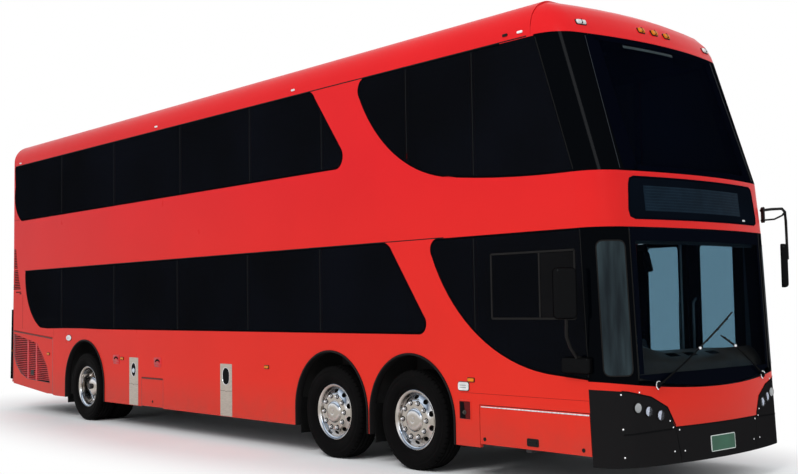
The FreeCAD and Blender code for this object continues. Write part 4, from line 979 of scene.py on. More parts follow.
def engine_doors():
    """Red door panels with rounded openings, close louvres and posts."""
    for tag, side in (("right", -1), ("left", 1)):
        body = tag + "_engine_door"
        face = Matrix(((1, 0, 0, 0), (0, 0, side, side * HALF_W), (0, 1, 0, 0), (0, 0, 0, 1)))
        panel = Shape("engine_door_panel_" + tag, "red_paint", None, body, ("engine_door_" + tag,), 25)
        panel.slab(DOOR_OUTLINE, face, 0.0, 0.003, -0.028)
        panel.cutters = Shape()
        panel.cutters.slab(GRILLE, face, 0.02, 0.0, -0.05)
        louvres = Shape("engine_louvres_" + tag, "red_paint", "red_plastic", body)
        for z in [LOUVRE_FOOT + LOUVRE_PITCH * k for k in range(LOUVRES)]:
            for x0, x1 in pairs(crossings(GRILLE, z + 0.010)):
                for a, b in pairs([x0] + [x for post in GRILLE_POSTS for x in post if x0 < x < x1] + [x1]):
                    if b - a > LOUVRE_MIN:
                        louvres.rings([[(x, side * (HALF_W + w), z + h) for h, w in BLADE] for x in (a, b)])
        for x0, x1 in GRILLE_POSTS:
            foot, top = crossings(GRILLE, (x0 + x1) / 2, 0)
            louvres.slab([(x0, foot), (x1, foot), (x1, top), (x0, top)], face, -0.002, 0.003, -0.024)
        Shape("louvre_backing_" + tag, "black_plastic", "dark", body).slab(
            shrunk(GRILLE, -0.006), face, -0.026, 0.0, -0.030)
        Shape("grille_rim_" + tag, "red_paint", None, body).moulding(
            GRILLE, face, ((-0.010, -0.0005), (-0.009, 0.003), (-0.001, 0.003), (0.001, -0.004)))
        Shape("grille_latch_" + tag, "black_plastic", None, body).slab(
            box(0.0575, 0.040), face @ at(-5.2425, 0.615, 0), 0.001, 0.001, -0.020)
        marker(Shape("door_marker_" + tag, "lamp_amber", None, body),
               Shape("door_marker_frame_" + tag, "black_plastic", None, body),
               side_place(-4.642, 0.917, side))
        Shape("engine_door_hinge_" + tag, "sheet_steel", "cast_iron", body).ribbon(
            [(Vector((x, side * HALF_W, 1.148 - (x + 4.496) * DOOR_TOP_SLOPE)), Vector((0, side, 0)))
             for x in (-4.52, -5.0, -5.5, -5.955)], 0.018, 0.007)


def corner_grilles():
    """Thin louvres beside the last lower window, in two panels that follow the rear corner."""
    louvres = Shape("corner_louvres", "black_plastic", "dark")
    for side in (-1, 1):
        for foot, count in UPPER_PANELS:
            for z in [foot + UPPER_PITCH * k for k in range(count)]:
                for x0, x1 in pairs(crossings(UPPER_GRILLE, z + 0.002)):
                    row = [on_side(x, z, side) for x, z in line((x0, z), (x1, z), 6)]
                    louvres.ribbon(row, 0.0185, 0.0015)


# ---------------------------------------------------------------- front and corners
BOW_R, CORNER_R = 4.500, 0.300
FRONT_X = span("front_bumper", "x")[1]
CORNER_Y = HALF_W - CORNER_R
LEAN = ((0.250, 0.0), (2.200, 0.088), (2.670, 0.134), (3.905, 0.536), (4.250, 0.664))     # height, set-back
SCREEN_HALF = 0.965
SCREEN_TOP = 3.88
SIDE_END_X = 5.86            # where the flat side's edging stops
QUARTER_ANGLES = (15.0, 62.0)
WINDOW_EDGES = [             # start, steps and sides of the rubber round each band of glass
    ((-5.675, 3.015), [(2.525, 3.020), ((2.615, 3.075), (2.608, 3.217)), (2.158, 3.817),
                       ((2.110, 3.875), (2.025, 3.900)), (-5.900, 3.900), ((-5.935, 3.885), (-5.950, 3.850)),
                       (-5.925, 3.570), ((-5.850, 3.140), (-5.675, 3.015))], (-1, 1)),
    ((5.550, 3.895), [(3.005, 3.895), ((2.925, 3.830), (2.925, 3.730)), ((3.428, 3.106), (4.246, 2.773)),
                      ((5.150, 2.695), (5.810, 2.681))], (-1, 1)),
    ((-4.940, 1.320), [(-4.700, 1.310), (3.792, 1.309), ((3.865, 1.350), (3.852, 1.470)), (3.398, 2.106),
                       ((3.340, 2.170), (3.246, 2.195)), (-5.525, 2.195), (-5.525, 2.130),
                       ((-5.340, 1.600), (-4.940, 1.320))], (-1, 1)),
    ((5.790, 2.190), [(4.080, 2.190), ((3.995, 2.160), (3.989, 2.045)), ((4.731, 1.212), (5.489, 0.985)),
                      (5.850, 0.956)], (-1,)),
]


def setback(z):
    """How far the front has leaned back at a height."""
    for (z0, s0), (z1, s1) in zip(LEAN, LEAN[1:]):
        if z <= z1:
            return s0 + (s1 - s0) * (z - z0) / (z1 - z0)
    return LEAN[-1][1]


def on_corner(angle, z, side):
    """Point of a front corner seen along an angle in degrees from straight ahead round to the side."""
    a = math.radians(angle)
    x = FRONT_X - BOW_R - setback(z) + math.sqrt((BOW_R - CORNER_R) ** 2 - CORNER_Y ** 2)
    way = Vector((math.cos(a), side * math.sin(a), 0.0))
    return cast(Vector((x, side * CORNER_Y, z)) + way * 1.5, -way)


def front_run(start, end, count, lift=0.0):
    """Rows at even steps between two (y, z) points of the front."""
    return [on_front(y, z, lift) for y, z in line(start, end, count)]


def front_path(points, step=0.05):
    return [on_front(y, z) for y, z in path(points, step)]


def rounded_rows(low, high, count, radius):
    """(height, inset) pairs from low to high, the inset growing towards rounded ends."""
    result = []
    for k in range(count + 1):
        z = low + (high - low) * (0.5 - 0.5 * math.cos(math.pi * k / count))
        near = min(z - low, high - z, radius)
        result.append((z, radius - math.sqrt(max(0.0, radius ** 2 - (radius - near) ** 2))))
    return result


def window_outlines():
    """Rounded rubber edging round the bands of glass."""
    edging = Shape("window_edging", "black_paint", smooth=60)
    for start, steps, sides in WINDOW_EDGES:
        points = curve(start, steps, 18)
        for side in sides:
            rows = [on_side(min(x, SIDE_END_X), z, side) for x, z in path(points, 0.6)]
            edging.ribbon(rows + (rows[1:2] if start == points[-1] else []), 0.022, 0.0016)


def corner_windows():
    """Curved quarter lights in the lower front corners, with their frames and the screens' side joints."""
    # the quarter lights carry upright streaks of painted reflection
    glass = Shape("quarter_lights", "black_paint", "corner_glass_painted_reflection", smooth=60)
    edging = Shape("quarter_light_edging", "black_plastic")
    joints = Shape("screen_joints", "black_plastic", "seam")
    lines = Shape("upper_screen_joints", "black_plastic", "screen_line")
    first, last = QUARTER_ANGLES
    for side in (-1, 1):
        grid = []
        for z, inset in rounded_rows(0.985, 2.085, 22, 0.05):
            spread = math.degrees(inset / CORNER_R)
            grid.append([on_corner(a, z, side) for a, in line((first + spread,), (last - spread,), 10)])
        glass.patch(grid, 0.0016)
        ring = [row[0] for row in grid] + grid[-1][1:-1] + [row[-1] for row in grid[::-1]] + grid[0][-2:0:-1]
        edging.ribbon(ring + ring[:2], 0.012, 0.0035)
        for foot, top in ((0.97, 2.19), (2.69, SCREEN_TOP)):
            joints.ribbon([on_corner(88.0, z, side) for z, in line((foot,), (top,), 8)], 0.008, 0.002)
        joints.ribbon(front_run((side * 0.975, 0.95), (side * 0.975, 2.19), 8), 0.010, 0.002)
        lines.ribbon(front_run((side * 0.995, 2.69), (side * 0.940, SCREEN_TOP), 8, 0.001), 0.006, 0.0012)


def screen_borders():
    """Black borders printed round the screens, the deep band under the lower one among them."""
    border = Shape("screen_borders", "screen_glass", "black_panel", smooth=60)
    upper = Shape("upper_screen_borders", "screen_glass", "upper_border", smooth=60)
    grid = []
    for y, in line((-SCREEN_HALF,), (SCREEN_HALF,), 24):
        out = (y / SCREEN_HALF) ** 2
        foot = 0.862 + 0.105 * 0.93 * out
        top = max(0.985 + 0.012 * (1 - out), foot + 0.02)
        grid.append(front_run((y, foot), (y, top), 5))
    border.patch(list(zip(*grid)))
    border.patch([front_run((-SCREEN_HALF, z), (SCREEN_HALF, z), 24) for z in (2.085, 2.12, 2.15, 2.19)])
    for side in (-1, 1):
        for shape, foot, top, places in ((border, 0.99, 2.09, (0.915, 0.94, 0.964)),
                                         (upper, 2.685, 3.885, (0.80, 0.84, 0.88, 0.92, 0.955))):
            shape.patch([[on_front(side * y, z) for y in places] for z, in line((foot,), (top,), 12)])
    for foot, top in ((2.680, 2.725), (3.85, 3.895)):
        upper.patch([front_run((-0.856, z), (0.856, z), 24) for z, in line((foot,), (top,), 3)])


SIGN_HALF = [(0.895, 2.272), (0.940, 2.290), (0.950, 2.340), (0.925, 2.560), (0.910, 2.603), (0.870, 2.620)]


def sign_detail():
    """Edging of the destination sign, and its matrix screen, left blank."""
    edging = Shape("sign_edging", "black_plastic", "black_panel")
    screen = Shape("sign_screen", "sign_glass", "screen_matrix")
    glow = Shape("sign_rows", "sign_glass", "screen_rows")
    rows = front_path(SIGN_HALF + [(-y, z) for y, z in reversed(SIGN_HALF)] + SIGN_HALF[:1], 0.12)
    edging.ribbon(rows + rows[1:2], 0.020, 0.003)
    screen.patch([front_run((-0.775, z), (0.600, z), 20) for z, in line((2.335,), (2.550,), 4)], 0.0012)
    for z, in line((2.345,), (2.541,), 8):
        glow.ribbon(front_run((-0.765, z), (0.590, z), 20, 0.001), 0.006, 0.0012)
    Shape("sign_light", "lamp_clear", "white_lens").slab(
        rounded_box(0.024, 0.008, 0.004), basis(*on_front(0.66, 2.300)), 0.006, 0.002, -0.002)


LAMPS = ((1.003, 0.725), (0.892, 0.690), (0.768, 0.652))      # (y, z), the outermost a day lamp
BEZEL = [(0.0445, -0.012), (0.046, 0.002), (0.044, 0.006), (0.04, 0.0055), (0.0375, 0.001), (0.0365, -0.010)]
REFLECTOR = [(0.0372, 0.0005), (0.0345, -0.0015), (0.03, -0.004), (0.022, -0.0062), (0.012, -0.0074),
             (0.011, -0.003), (0.0085, 0.0), (0.004, 0.0015)]
LENS = [(0.0385, 0.003), (0.038, 0.0045), (0.032, 0.0072), (0.022, 0.0093), (0.01, 0.0106), (0.0005, 0.011)]


def headlamps():
    """Sunk lamps: bezel, turned reflector, bulb and a domed lens."""
    bezels = Shape("headlamp_bezels", "black_plastic", replaces=("headlamps",))
    bowls = Shape("headlamp_reflectors", "lamp_clear", "chrome")
    lenses = Shape("headlamp_lenses", "lamp_clear", "lens")
    frosted = Shape("day_lamps", "lamp_clear", "frosted")
    for side in (-1, 1):
        for y, z in LAMPS:
            skin, normal = on_front(side * y, z)
            spot = basis(skin, (normal + Vector((1, 0, 0)) * 1.2).normalized())
            bezels.lathe(BEZEL, spot, 32)
            bowls.lathe(REFLECTOR, spot, 32)
            for u, v in circle(8):
                bowls.tube([spot @ Vector((r * u, r * v, h))
                            for r, h in ((0.013, -0.0060), (0.024, -0.0035), (0.034, 0.0000))], 0.0012, 4)
            (frosted if (y, z) == LAMPS[0] else lenses).lathe(LENS, spot, 32)


BUMPER_SCREWS = ((1.135, 0.835), (1.135, 0.560), (1.135, 0.335), (0.980, 0.848), (0.672, 0.600),
                 (0.640, 0.350), (0.570, 0.520), (0.520, 0.345), (0.640, 0.545))
BUMPER_EDGE = ((1.130, 0.8635), (1.084, 0.857), (0.860, 0.805), (0.690, 0.713), (0.611, 0.560))
SCREW = [(0.0075, -0.001), (0.0075, 0.0025), (0.005, 0.0048), (0.001, 0.0055)]


def bumper_detail():
    """Raised edge, creases, joints and small screws of the black lower front, and a blank plate."""
    edge = Shape("bumper_edge", "black_plastic", "gloss_plastic")
    crease = Shape("bumper_crease", "black_plastic", "gloss_plastic")
    joint = Shape("bumper_joints", "black_plastic", "dark")
    screws = Shape("bumper_screws", "sheet_steel", "bright_bolt")
    for side in (-1, 1):
        edge.ribbon(front_path([(side * y, z) for y, z in BUMPER_EDGE]), 0.010, 0.004)
        crease.ribbon(front_path([(side * 1.13, 0.515), (side * 0.62, 0.535)]), 0.012, 0.004)
        joint.ribbon(front_path([(side * 0.6125, 0.556), (side * 0.5620, 0.285)]), 0.008, 0.0015)
        for y, z in BUMPER_SCREWS:
            screws.lathe(SCREW, basis(*on_front(side * y, z)), 10)
    edge.ribbon(front_path([(-0.611, 0.545), (0.611, 0.545)]), 0.008, 0.003)
    spot = basis(on_front(0.0, 0.372)[0], (1, 0, 0.045))
    outer = rounded_box(0.180, 0.0675, 0.012)
    Shape("plate_edge", "sheet_steel", "plate_white").moulding(
        outer, spot, ((0.0, -0.005), (0.0, 0.0015), (0.001, 0.0022), (0.0055, 0.0022), (0.0065, 0.0012)))
    Shape("plate_face", "sheet_steel", "plate_green").slab(shrunk(outer, 0.006), spot, 0.0014, 0.0, -0.001)


ROOF_LAMPS = [(y, 4.005, 0.050, 0.022, "clear") for y in (-0.93, 0.93)]          # y, z, half sizes, kind
ROOF_LAMPS += [(y, z, 0.038, 0.024, "amber") for y, z in ((-0.190, 4.024), (0.0, 4.027), (0.190, 4.024))]


def roof_lamps():
    """Small lamps on the brow of the roof."""
    lenses = {"clear": Shape("roof_lamps_clear", "lamp_clear", "white_lens"),
              "amber": Shape("roof_lamps_amber", "lamp_amber")}
    bases = Shape("roof_lamp_bases", "black_plastic", "seam")
    for y, z, half_u, half_v, kind in ROOF_LAMPS:
        spot = basis(*on_front(y, z))
        bases.slab(rounded_box(half_u + 0.008, half_v + 0.007, 0.012), spot, 0.006, 0.003, -0.004)
        lenses[kind].slab(rounded_box(half_u, half_v, 0.010), spot, 0.024, 0.010, 0.002)
        bases.block((0.008, 2 * half_v + 0.004, 0.024), spot @ at(0, 0, 0.014), 0.002)


WIPER_HUB = [(0.020, -0.014), (0.024, -0.004), (0.024, 0.004), (0.018, 0.010), (0.004, 0.012)]
WIPER_KNUCKLE = [(0.012, -0.006), (0.015, 0.0), (0.012, 0.008), (0.004, 0.010)]
WIPER_TIPS = ((-1, (0.266, 1.471)), (1, (0.060, 1.275)))


def wiper_pair():
    """Cranked arms, knuckles and sprung blades that follow the curve of the lower screen."""
    arms = Shape("wiper_arms", "black_plastic", "gloss_plastic", replaces=("wipers",))
    blades = Shape("wiper_blades", "black_plastic", "seam")
    bright = Shape("wiper_pivots", "sheet_steel", "chrome")
    for side, tip in WIPER_TIPS:
        foot, elbow = (side * 0.785, 0.895), (side * 0.268, 1.180)

        def along(a, b, lift, *parts):
            return [on_front(a[0] + (b[0] - a[0]) * t, a[1] + (b[1] - a[1]) * t, lift)[0] for t in parts]

        pivot = basis(along(foot, elbow, 0.016, 0.0)[0], (1, 0, 0.1))
        arms.lathe(WIPER_HUB, pivot, 20)
        arms.tube(along(foot, elbow, 0.021, 0.0, 0.12, 0.3, 0.6, 0.98),
                  [0.0115, 0.0095, 0.0080, 0.0066, 0.0058], 8)
        blades.tube(along(elbow, tip, 0.017, -0.02, 0.25, 0.5, 0.75, 1.0),
                    [0.0050, 0.0085, 0.0095, 0.0085, 0.0045], 6)
        blades.tube(along(elbow, tip, 0.0075, 0.0, 0.25, 0.5, 0.75, 1.0), 0.0040, 4)
        for place in along(elbow, tip, 0.021, 0.2, 0.5, 0.8):
            arms.block((0.030, 0.014, 0.012), basis(place, (1, 0, 0.05)), 0.003)
        bright.lathe(WIPER_KNUCKLE, basis(along(elbow, tip, 0.022, 0.0)[0], (1, 0, 0.05)), 16)
        bright.tube([pivot @ Vector((u, v, 0.002))
                     for u, v in circle(14, 0.034, 2 * math.pi * 0.08, 2 * math.pi * 0.62)], 0.0045, 6)


MIRROR_HEADS = (((6.062, 1.460, 1.900), 31.0), ((5.795, -1.460, 1.660), -31.0))      # middle, turn in degrees
MIRROR_SHELL = ((0.034, -0.032), (0.020, -0.030), (0.008, -0.022), (0.002, -0.010), (0.0, 0.006),
                (0.001, 0.026), (0.004, 0.031), (0.012, 0.0315), (0.014, 0.027))
MIRROR_RIM = ((-0.003, 0.0268), (-0.002, 0.0305), (0.003, 0.0305), (0.004, 0.0275))
MIRROR_ARMS = (              # radius and route
    (0.0135, [(6.005, 1.165, 2.425), (6.045, 1.290, 2.440), (6.080, 1.420, 2.448), (6.078, 1.475, 2.420),
              (6.071, 1.500, 2.330), (6.073, 1.500, 2.140), (6.075, 1.500, 1.960)]),
    (0.0135, [(5.775, -1.290, 1.110), (5.768, -1.380, 1.220), (5.768, -1.425, 1.310),
              (5.790, -1.442, 1.500)]),
    (0.0090, [(6.010, 1.160, 2.330), (6.050, 1.330, 2.345), (6.070, 1.440, 2.385), (6.078, 1.475, 2.420)]))


def mirror_pair():
    """Soft-cornered mirror heads on bent arms, their glasses facing back."""
    shells = Shape("mirror_shells", "black_plastic", "gloss_plastic", replaces=("mirrors",), smooth=45)
    arms = Shape("mirror_arms", "black_plastic", smooth=45)
    frames = Shape("mirror_frames", "black_plastic", "seam")
    glasses = Shape("mirror_glasses", "black_plastic", "mirror_glass")
    for centre, turn in MIRROR_HEADS:
        a = math.radians(turn)
        spot = basis(centre, (-math.cos(a), -math.sin(a), 0.0))
        shells.moulding(rounded_box(0.0975, 0.210, 0.040, 6), spot, MIRROR_SHELL, True)
        for low_v, high_v in ((-0.192, 0.060), (0.072, 0.192)):
            inner = rounded_box(0.082, (high_v - low_v) / 2, 0.020, 5, (0.0, (high_v + low_v) / 2))
            frames.moulding(inner, spot, MIRROR_RIM)
            glasses.slab(shrunk(inner, 0.001), spot, 0.0288, 0.001, 0.0268)
    for radius, points in MIRROR_ARMS:
        arms.tube(points, radius, 10 if radius > 0.01 else 8)
    arms.block((0.055, 0.150, 0.022), basis((6.020, 1.176, 2.382), (0.55, 0.84, 0.0)), 0.006)
    shells.moulding(rounded_box(0.140, 0.068, 0.022), basis((5.745, -1.250, 1.068), (0, -1, 0)),
                    ((0.0, -0.002), (0.0, 0.045), (0.006, 0.062), (0.018, 0.070)), True)
    arms.lathe([(0.026, -0.004), (0.026, 0.014), (0.018, 0.022)],
               basis((5.776, -1.285, 1.120), (0, -0.4, 1)), 18)


# ---------------------------------------------------------------- entrance
PANE_SEAL = ((-0.012, -0.0005), (-0.011, 0.0022), (0.002, 0.0022), (0.012, -0.010), (0.012, -0.022))


def entrance_detail():
    """Rubber edges, pane seals, a button plate and inner rails that move with each leaf."""
    for tag, meeting in (("rear", 1), ("front", 0)):       # which end of its x meets the other leaf
        body, leaf, pane_node = "door_%s_leaf" % tag, "door_leaf_" + tag, "door_glass_" + tag
        xs, (z0, z1), (inside_y, y) = span(leaf, "x"), span(leaf, "z"), span(leaf, "y")
        (p0, p1), (q0, q1) = span(pane_node, "x"), span(pane_node, "z")
        into = 1 - 2 * meeting                             # way along x from the meeting edge into the leaf
        rubber = Shape("leaf_rubbers_" + tag, "spring_rubber", None, body)
        for size, x, z in (((0.016, z1 - z0 - 0.03, 0.010), xs[meeting] + 0.009 * into, (z0 + z1) / 2),
                           ((xs[1] - xs[0] - 0.03, 0.018, 0.010), (xs[0] + xs[1]) / 2, z0 + 0.014)):
            rubber.block(size, basis((x, y - 0.0035, z), (0, 1, 0)), 0.003)
        Shape("leaf_pane_seal_" + tag, "black_plastic", "seam", body).moulding(
            rounded_box((p1 - p0) / 2, (q1 - q0) / 2, 0.045, 6),
            basis(((p0 + p1) / 2, y, (q0 + q1) / 2), (0, 1, 0)), PANE_SEAL)
        rail_x = xs[meeting] + 0.075 * into
        Shape("leaf_rail_" + tag, "sheet_steel", "handrail", body).tube(
            [(rail_x, inside_y + dy, z) for dy, z in ((0.004, 0.80), (-0.045, 0.84), (-0.050, 1.20),
                                                      (-0.045, 1.56), (0.004, 1.60))], 0.012, 10)
        if tag == "front":
            Shape("leaf_button_plate", "black_plastic", "gloss_plastic", body).slab(
                rounded_box(0.030, 0.070, 0.014), basis((xs[0] + 0.060, y, 1.12), (0, 1, 0)),
                0.005, 0.002, -0.002)


# ---------------------------------------------------------------- inside
# section of a cushion: inset, and height as a share of its thickness
CUSHION = ((0.020, -0.5), (0.0, -0.36), (-0.004, 0.0), (0.0, 0.30), (0.016, 0.45), (0.10, 0.50))
CLOTH_FRAMES = 16
CLOTH_GRID = 0.030
MOST_BULGE = 0.011


def cushion(half_x, half_y, thick, name):
    """Padded cushion about the origin: cloth blown up a little from a closed shell."""
    shell = Shape()
    shell.moulding(rounded_box(half_x - 0.012, half_y - 0.012, 0.045), at(0, 0, 0),
                   [(inset, height * thick) for inset, height in CUSHION], True)
    pad = shell.solid(name)
    remesh = pad.modifiers.new("grid", "REMESH")
    remesh.mode, remesh.voxel_size = "VOXEL", CLOTH_GRID
    smooth = evaluated_mesh(pad, name + "_grid")
    pad = linked(name, smooth)
    rest = [v.co.copy() for v in smooth.vertices]
    cloth = pad.modifiers.new("cloth", "CLOTH")
    cloth.settings.use_pressure = True
    cloth.settings.uniform_pressure_force = 4.0
    cloth.settings.effector_weights.gravity = 0.0
    cloth.point_cache.frame_start, cloth.point_cache.frame_end = 1, CLOTH_FRAMES
    for number in range(1, CLOTH_FRAMES + 1):
        SCENE.frame_set(number)
        bpy.context.view_layer.update()
    blown = evaluated_mesh(pad, name + "_blown")
    SCENE.frame_set(1)
    for vertex, start in zip(blown.vertices, rest):
        move = vertex.co - start
        vertex.co = start + move * min(1.0, MOST_BULGE / max(move.length, 1e-6))
    return blown


SEAT_PITCH = 0.8
UPPER_Z = 2.310
STAIR_X = (-0.9, 1.6)                    # no right-hand benches between these
SEATS = [(-2.300 + SEAT_PITCH * i, 0.33, 1.18, 0.380) for i in range(5)]         # x, y from, y to, floor
SEATS += [(-2.300 + SEAT_PITCH * i, -1.18, -0.33, 0.380) for i in range(2)]
SEATS += [(x, y0, y1, 1.165) for x in (-3.96, -3.30) for y0, y1 in ((0.32, 1.18), (-1.18, -0.32))]
for seat_x in [-5.65 + SEAT_PITCH * i for i in range(13)]:
    SEATS.append((seat_x, 0.29, 1.18, UPPER_Z))
    if not STAIR_X[0] <= seat_x <= STAIR_X[1]:
        SEATS.append((seat_x, -1.18, -0.29, UPPER_Z))
SEAT_SIDE = [(0.010, 0.0), (0.400, 0.0), (0.425, 0.330), (0.085, 0.345), (0.010, 1.005), (-0.050, 1.005)]


def passenger_seats():
    """Benches of two padded seats on moulded shells, with piped seams and grips."""
    squab = cushion(0.185, 0.200, 0.105, "squab")
    back = cushion(0.285, 0.200, 0.080, "back")
    cloth = Shape("seat_cushions", "seat_fabric", replaces=("passenger_seats",), smooth=70)
    shells = Shape("seat_shells", "cab_plastic", smooth=30)
    grips = Shape("seat_grips", "sheet_steel", "handrail")
    piping = Shape("seat_piping", "seat_fabric", "piping", smooth=70)
    for x, y0, y1, z in SEATS:
        mid, half = (y0 + y1) / 2, (y1 - y0) / 4
        side = [(x + u, z + v) for u, v in SEAT_SIDE]
        for a, b in ((y0 + 0.004, mid - 0.006), (mid + 0.006, y1 - 0.004)):
            shells.rings([[(u, y, v) for u, v in shrunk(side, d)]
                          for y, d in ((a, 0.014), (a + 0.010, 0.0), (b - 0.010, 0.0), (b, 0.014))])
        for centre in (mid - half, mid + half):
            flat = at(x + 0.262, centre, z + 0.378) @ turned("Y", -3.5)
            lean = at(x + 0.076, centre, z + 0.712) @ turned("Y", 83.0)
            for data, place, half_u, level in ((squab, flat, 0.168, 0.056), (back, lean, 0.262, 0.044)):
                cloth.copy(data, place)
                seam = [place @ Vector((u, v, level)) for u, v in rounded_box(half_u, 0.168, 0.05, 3)]
                piping.tube(seam + seam[:2], 0.004, 4)
            top = (lean @ Vector((-0.290, 0.0, 0.010))).x
            grips.tube([(top, centre - 0.150, z + 0.94), (top - 0.012, centre - 0.140, z + 1.000),
                        (top - 0.012, centre + 0.140, z + 1.000), (top, centre + 0.150, z + 0.94)], 0.011, 6)
    cloth.piece()
    for data in (squab, back):
        bpy.data.meshes.remove(data)


PEDESTAL = ((0.0, 0.0), (0.0, 0.030), (0.05, 0.050), (0.055, 0.200), (0.030, 0.235), (-0.020, 0.270),
            (-0.025, 0.310))
BACK_SHELL = ((4.580, 1.06), (4.625, 1.06), (4.600, 1.42), (4.560, 1.76), (4.530, 1.76), (4.550, 1.40))
HUB = [(0.020, -0.090), (0.055, -0.030), (0.065, -0.008), (0.055, 0.004), (0.020, 0.009)]
BINNACLE = ((-0.020, -0.130), (-0.012, -0.030), (0.0, 0.030), (0.006, 0.045), (0.020, 0.045), (0.024, 0.020))


def driver_place():
    """Driver's padded seat on its pedestal, steering wheel with its column, and binnacle with gauges."""
    low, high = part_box("driver_seat")
    mid_y = (low[1] + high[1]) / 2
    cloth = Shape("driver_cushions", "seat_fabric", "cab_cloth", replaces=("driver_seat",), smooth=70)
    for half_x, half_y, thick, name, x, z, lean in ((0.225, 0.235, 0.115, "cab_squab", 4.885, 1.078, 0.0),
                                                    (0.300, 0.225, 0.100, "cab_back", 4.655, 1.385, 80.0),
                                                    (0.085, 0.130, 0.085, "cab_head", 4.600, 1.700, 80.0)):
        data = cushion(half_x, half_y, thick, name)
        cloth.copy(data, at(x, mid_y, z) @ turned("Y", lean))
        bpy.data.meshes.remove(data)
    cloth.piece()
    base = Shape("driver_seat_base", "cab_plastic")
    base.moulding(rounded_box(0.190, 0.180, 0.05), at(4.875, mid_y, low[2]), PEDESTAL, True)
    base.rings([[Vector((u, y, v)) for u, v in BACK_SHELL] for y in (mid_y - 0.19, mid_y + 0.19)])
    wheel = Shape("wheel_and_column", "cab_plastic", "gloss_plastic", replaces=("steering_wheel",), smooth=45)
    place = basis((5.350, -0.710, 1.230), (-0.6, 0.0, 0.8), (1, 0, 0))
    ring = [place @ Vector((u, v, 0.0)) for u, v in circle(40, 0.220)]
    wheel.tube(ring + ring[:2], 0.0145, 10)
    wheel.lathe(HUB, place, 28)
    for a in (0.5, math.pi - 0.5, math.pi * 1.5):
        wheel.tube([place @ Vector((r * math.cos(a), r * math.sin(a), h))
                    for r, h in ((0.045, -0.012), (0.120, -0.010), (0.212, 0.0))], [0.016, 0.011, 0.009], 8)
    wheel.tube([place @ Vector((0, 0, -0.06)), place @ Vector((0, 0, -0.42))], [0.028, 0.040], 14)
    spot = basis((5.560, -0.700, 1.300), (-0.72, 0.0, 0.69), (0.69, 0.0, 0.72))
    outline = rounded_box(0.250, 0.100, 0.045, 5)
    Shape("binnacle", "cab_plastic", "dash_skin_with_painted_light", smooth=50).moulding(outline, spot, BINNACLE, True)
    face = Shape("gauges", "cab_plastic", "gauge_face")
    face.slab(shrunk(outline, 0.024), spot, 0.0225, 0.0, 0.018)
    for u, r in ((-0.135, 0.052), (-0.02, 0.038), (0.105, 0.052)):
        face.lathe([(r, 0.022), (r, 0.029), (r - 0.006, 0.031), (r - 0.009, 0.025), (0.004, 0.0245)],
                   spot @ at(u, 0, 0), 28)


MONITOR_CASE = ((0.010, -0.030), (0.0, -0.022), (0.0, 0.006), (0.004, 0.010), (0.012, 0.010), (0.014, 0.006))
HEADER = ((0.0, 2.060), (0.006, 2.170), (-0.090, 2.190), (-0.300, 2.190), (-0.300, 2.110), (-0.120, 2.070))


# section of the dashboard: steps forward and back from the screen, height, and its rise round the binnacle
DASH = ((0.0, 0.0, 0.930, 0.0), (0.004, 0.0, 0.985, 0.0), (0.0, 0.060, 1.055, 0.02),
        (0.0, 0.200, 1.125, 0.07), (0.0, 0.330, 1.150, 0.09), (0.0, 0.380, 1.120, 0.08),
        (0.0, 0.395, 0.930, 0.0))
DASH_Z = 1.02                # where the dashboard meets the lower screen
HEADER_Z = 2.14


def dash_top():
    """Moulded dashboard top that follows the foot of the lower screen, with vents and a monitor above it."""
    pad = Shape("dash_top", "cab_plastic", "dash_skin_with_painted_light", smooth=60)
    rings = []
    for y, in line((-1.02,), (1.02,), 36):
        ahead = on_front(y, DASH_Z)[0].x - 0.075
        swell = 0.5 + 0.5 * math.cos(math.pi * min(1.0, abs(y + 0.70) / 0.45))       # round the binnacle
        clear = min(1.0, max(0.0, (y - 0.34) / 0.17))                                # by the entrance
        deep = 1.0 - 0.58 * clear * clear * (3.0 - 2.0 * clear)
        rings.append([(ahead - back * deep + front, y, z + rise * swell) for front, back, z, rise in DASH])
    pad.rings(rings)
    vents = Shape("dash_vents", "cab_plastic", "dark")
    for y in (-0.36, -0.12, 0.22):
        for i in range(5):
            x = on_front(y, DASH_Z)[0].x - 0.165 - 0.014 * i
            vents.block((0.006, 0.150, 0.006), at(x, y, 1.112 + 0.005 * i), 0.001)
    spot = basis((5.760, -0.330, 1.930), (-0.86, -0.45, -0.2))
    outline = rounded_box(0.140, 0.090, 0.022)
    case = Shape("monitor_case", "cab_plastic", "gloss_plastic")
    case.moulding(outline, spot, MONITOR_CASE, True)
    case.tube([(5.760, -0.330, 2.010), (5.755, -0.330, 2.090), (5.700, -0.330, 2.160)], 0.014, 8)
    screen = Shape("monitor_screen", "cab_plastic", "screen_matrix")
    screen.slab(shrunk(outline, 0.014), spot, 0.0075, 0.0, 0.004)
    Shape("screen_header", "cab_plastic", smooth=50).rings(
        [[(on_front(y, HEADER_Z)[0].x - 0.055 + dx, y, z) for dx, z in HEADER]
         for y, in line((-0.93,), (0.93,), 24)])
    Shape("upper_screen_strip", "screen_glass", "frosted_bar").ribbon(
        front_run((-0.53, 3.822), (0.16, 3.822), 8, 0.0004), 0.026, 0.0010)


FLOOR_POLES = ((5.135, 1.085, 0.38), (4.500, 0.42, 0.38), (3.90, 0.36, 0.40), (-1.55, -0.30, 0.40),
               (-2.42, 0.30, 0.95), (-2.42, -0.30, 0.95))
POLE_TOP = 2.27
RAIL_Z = 4.02


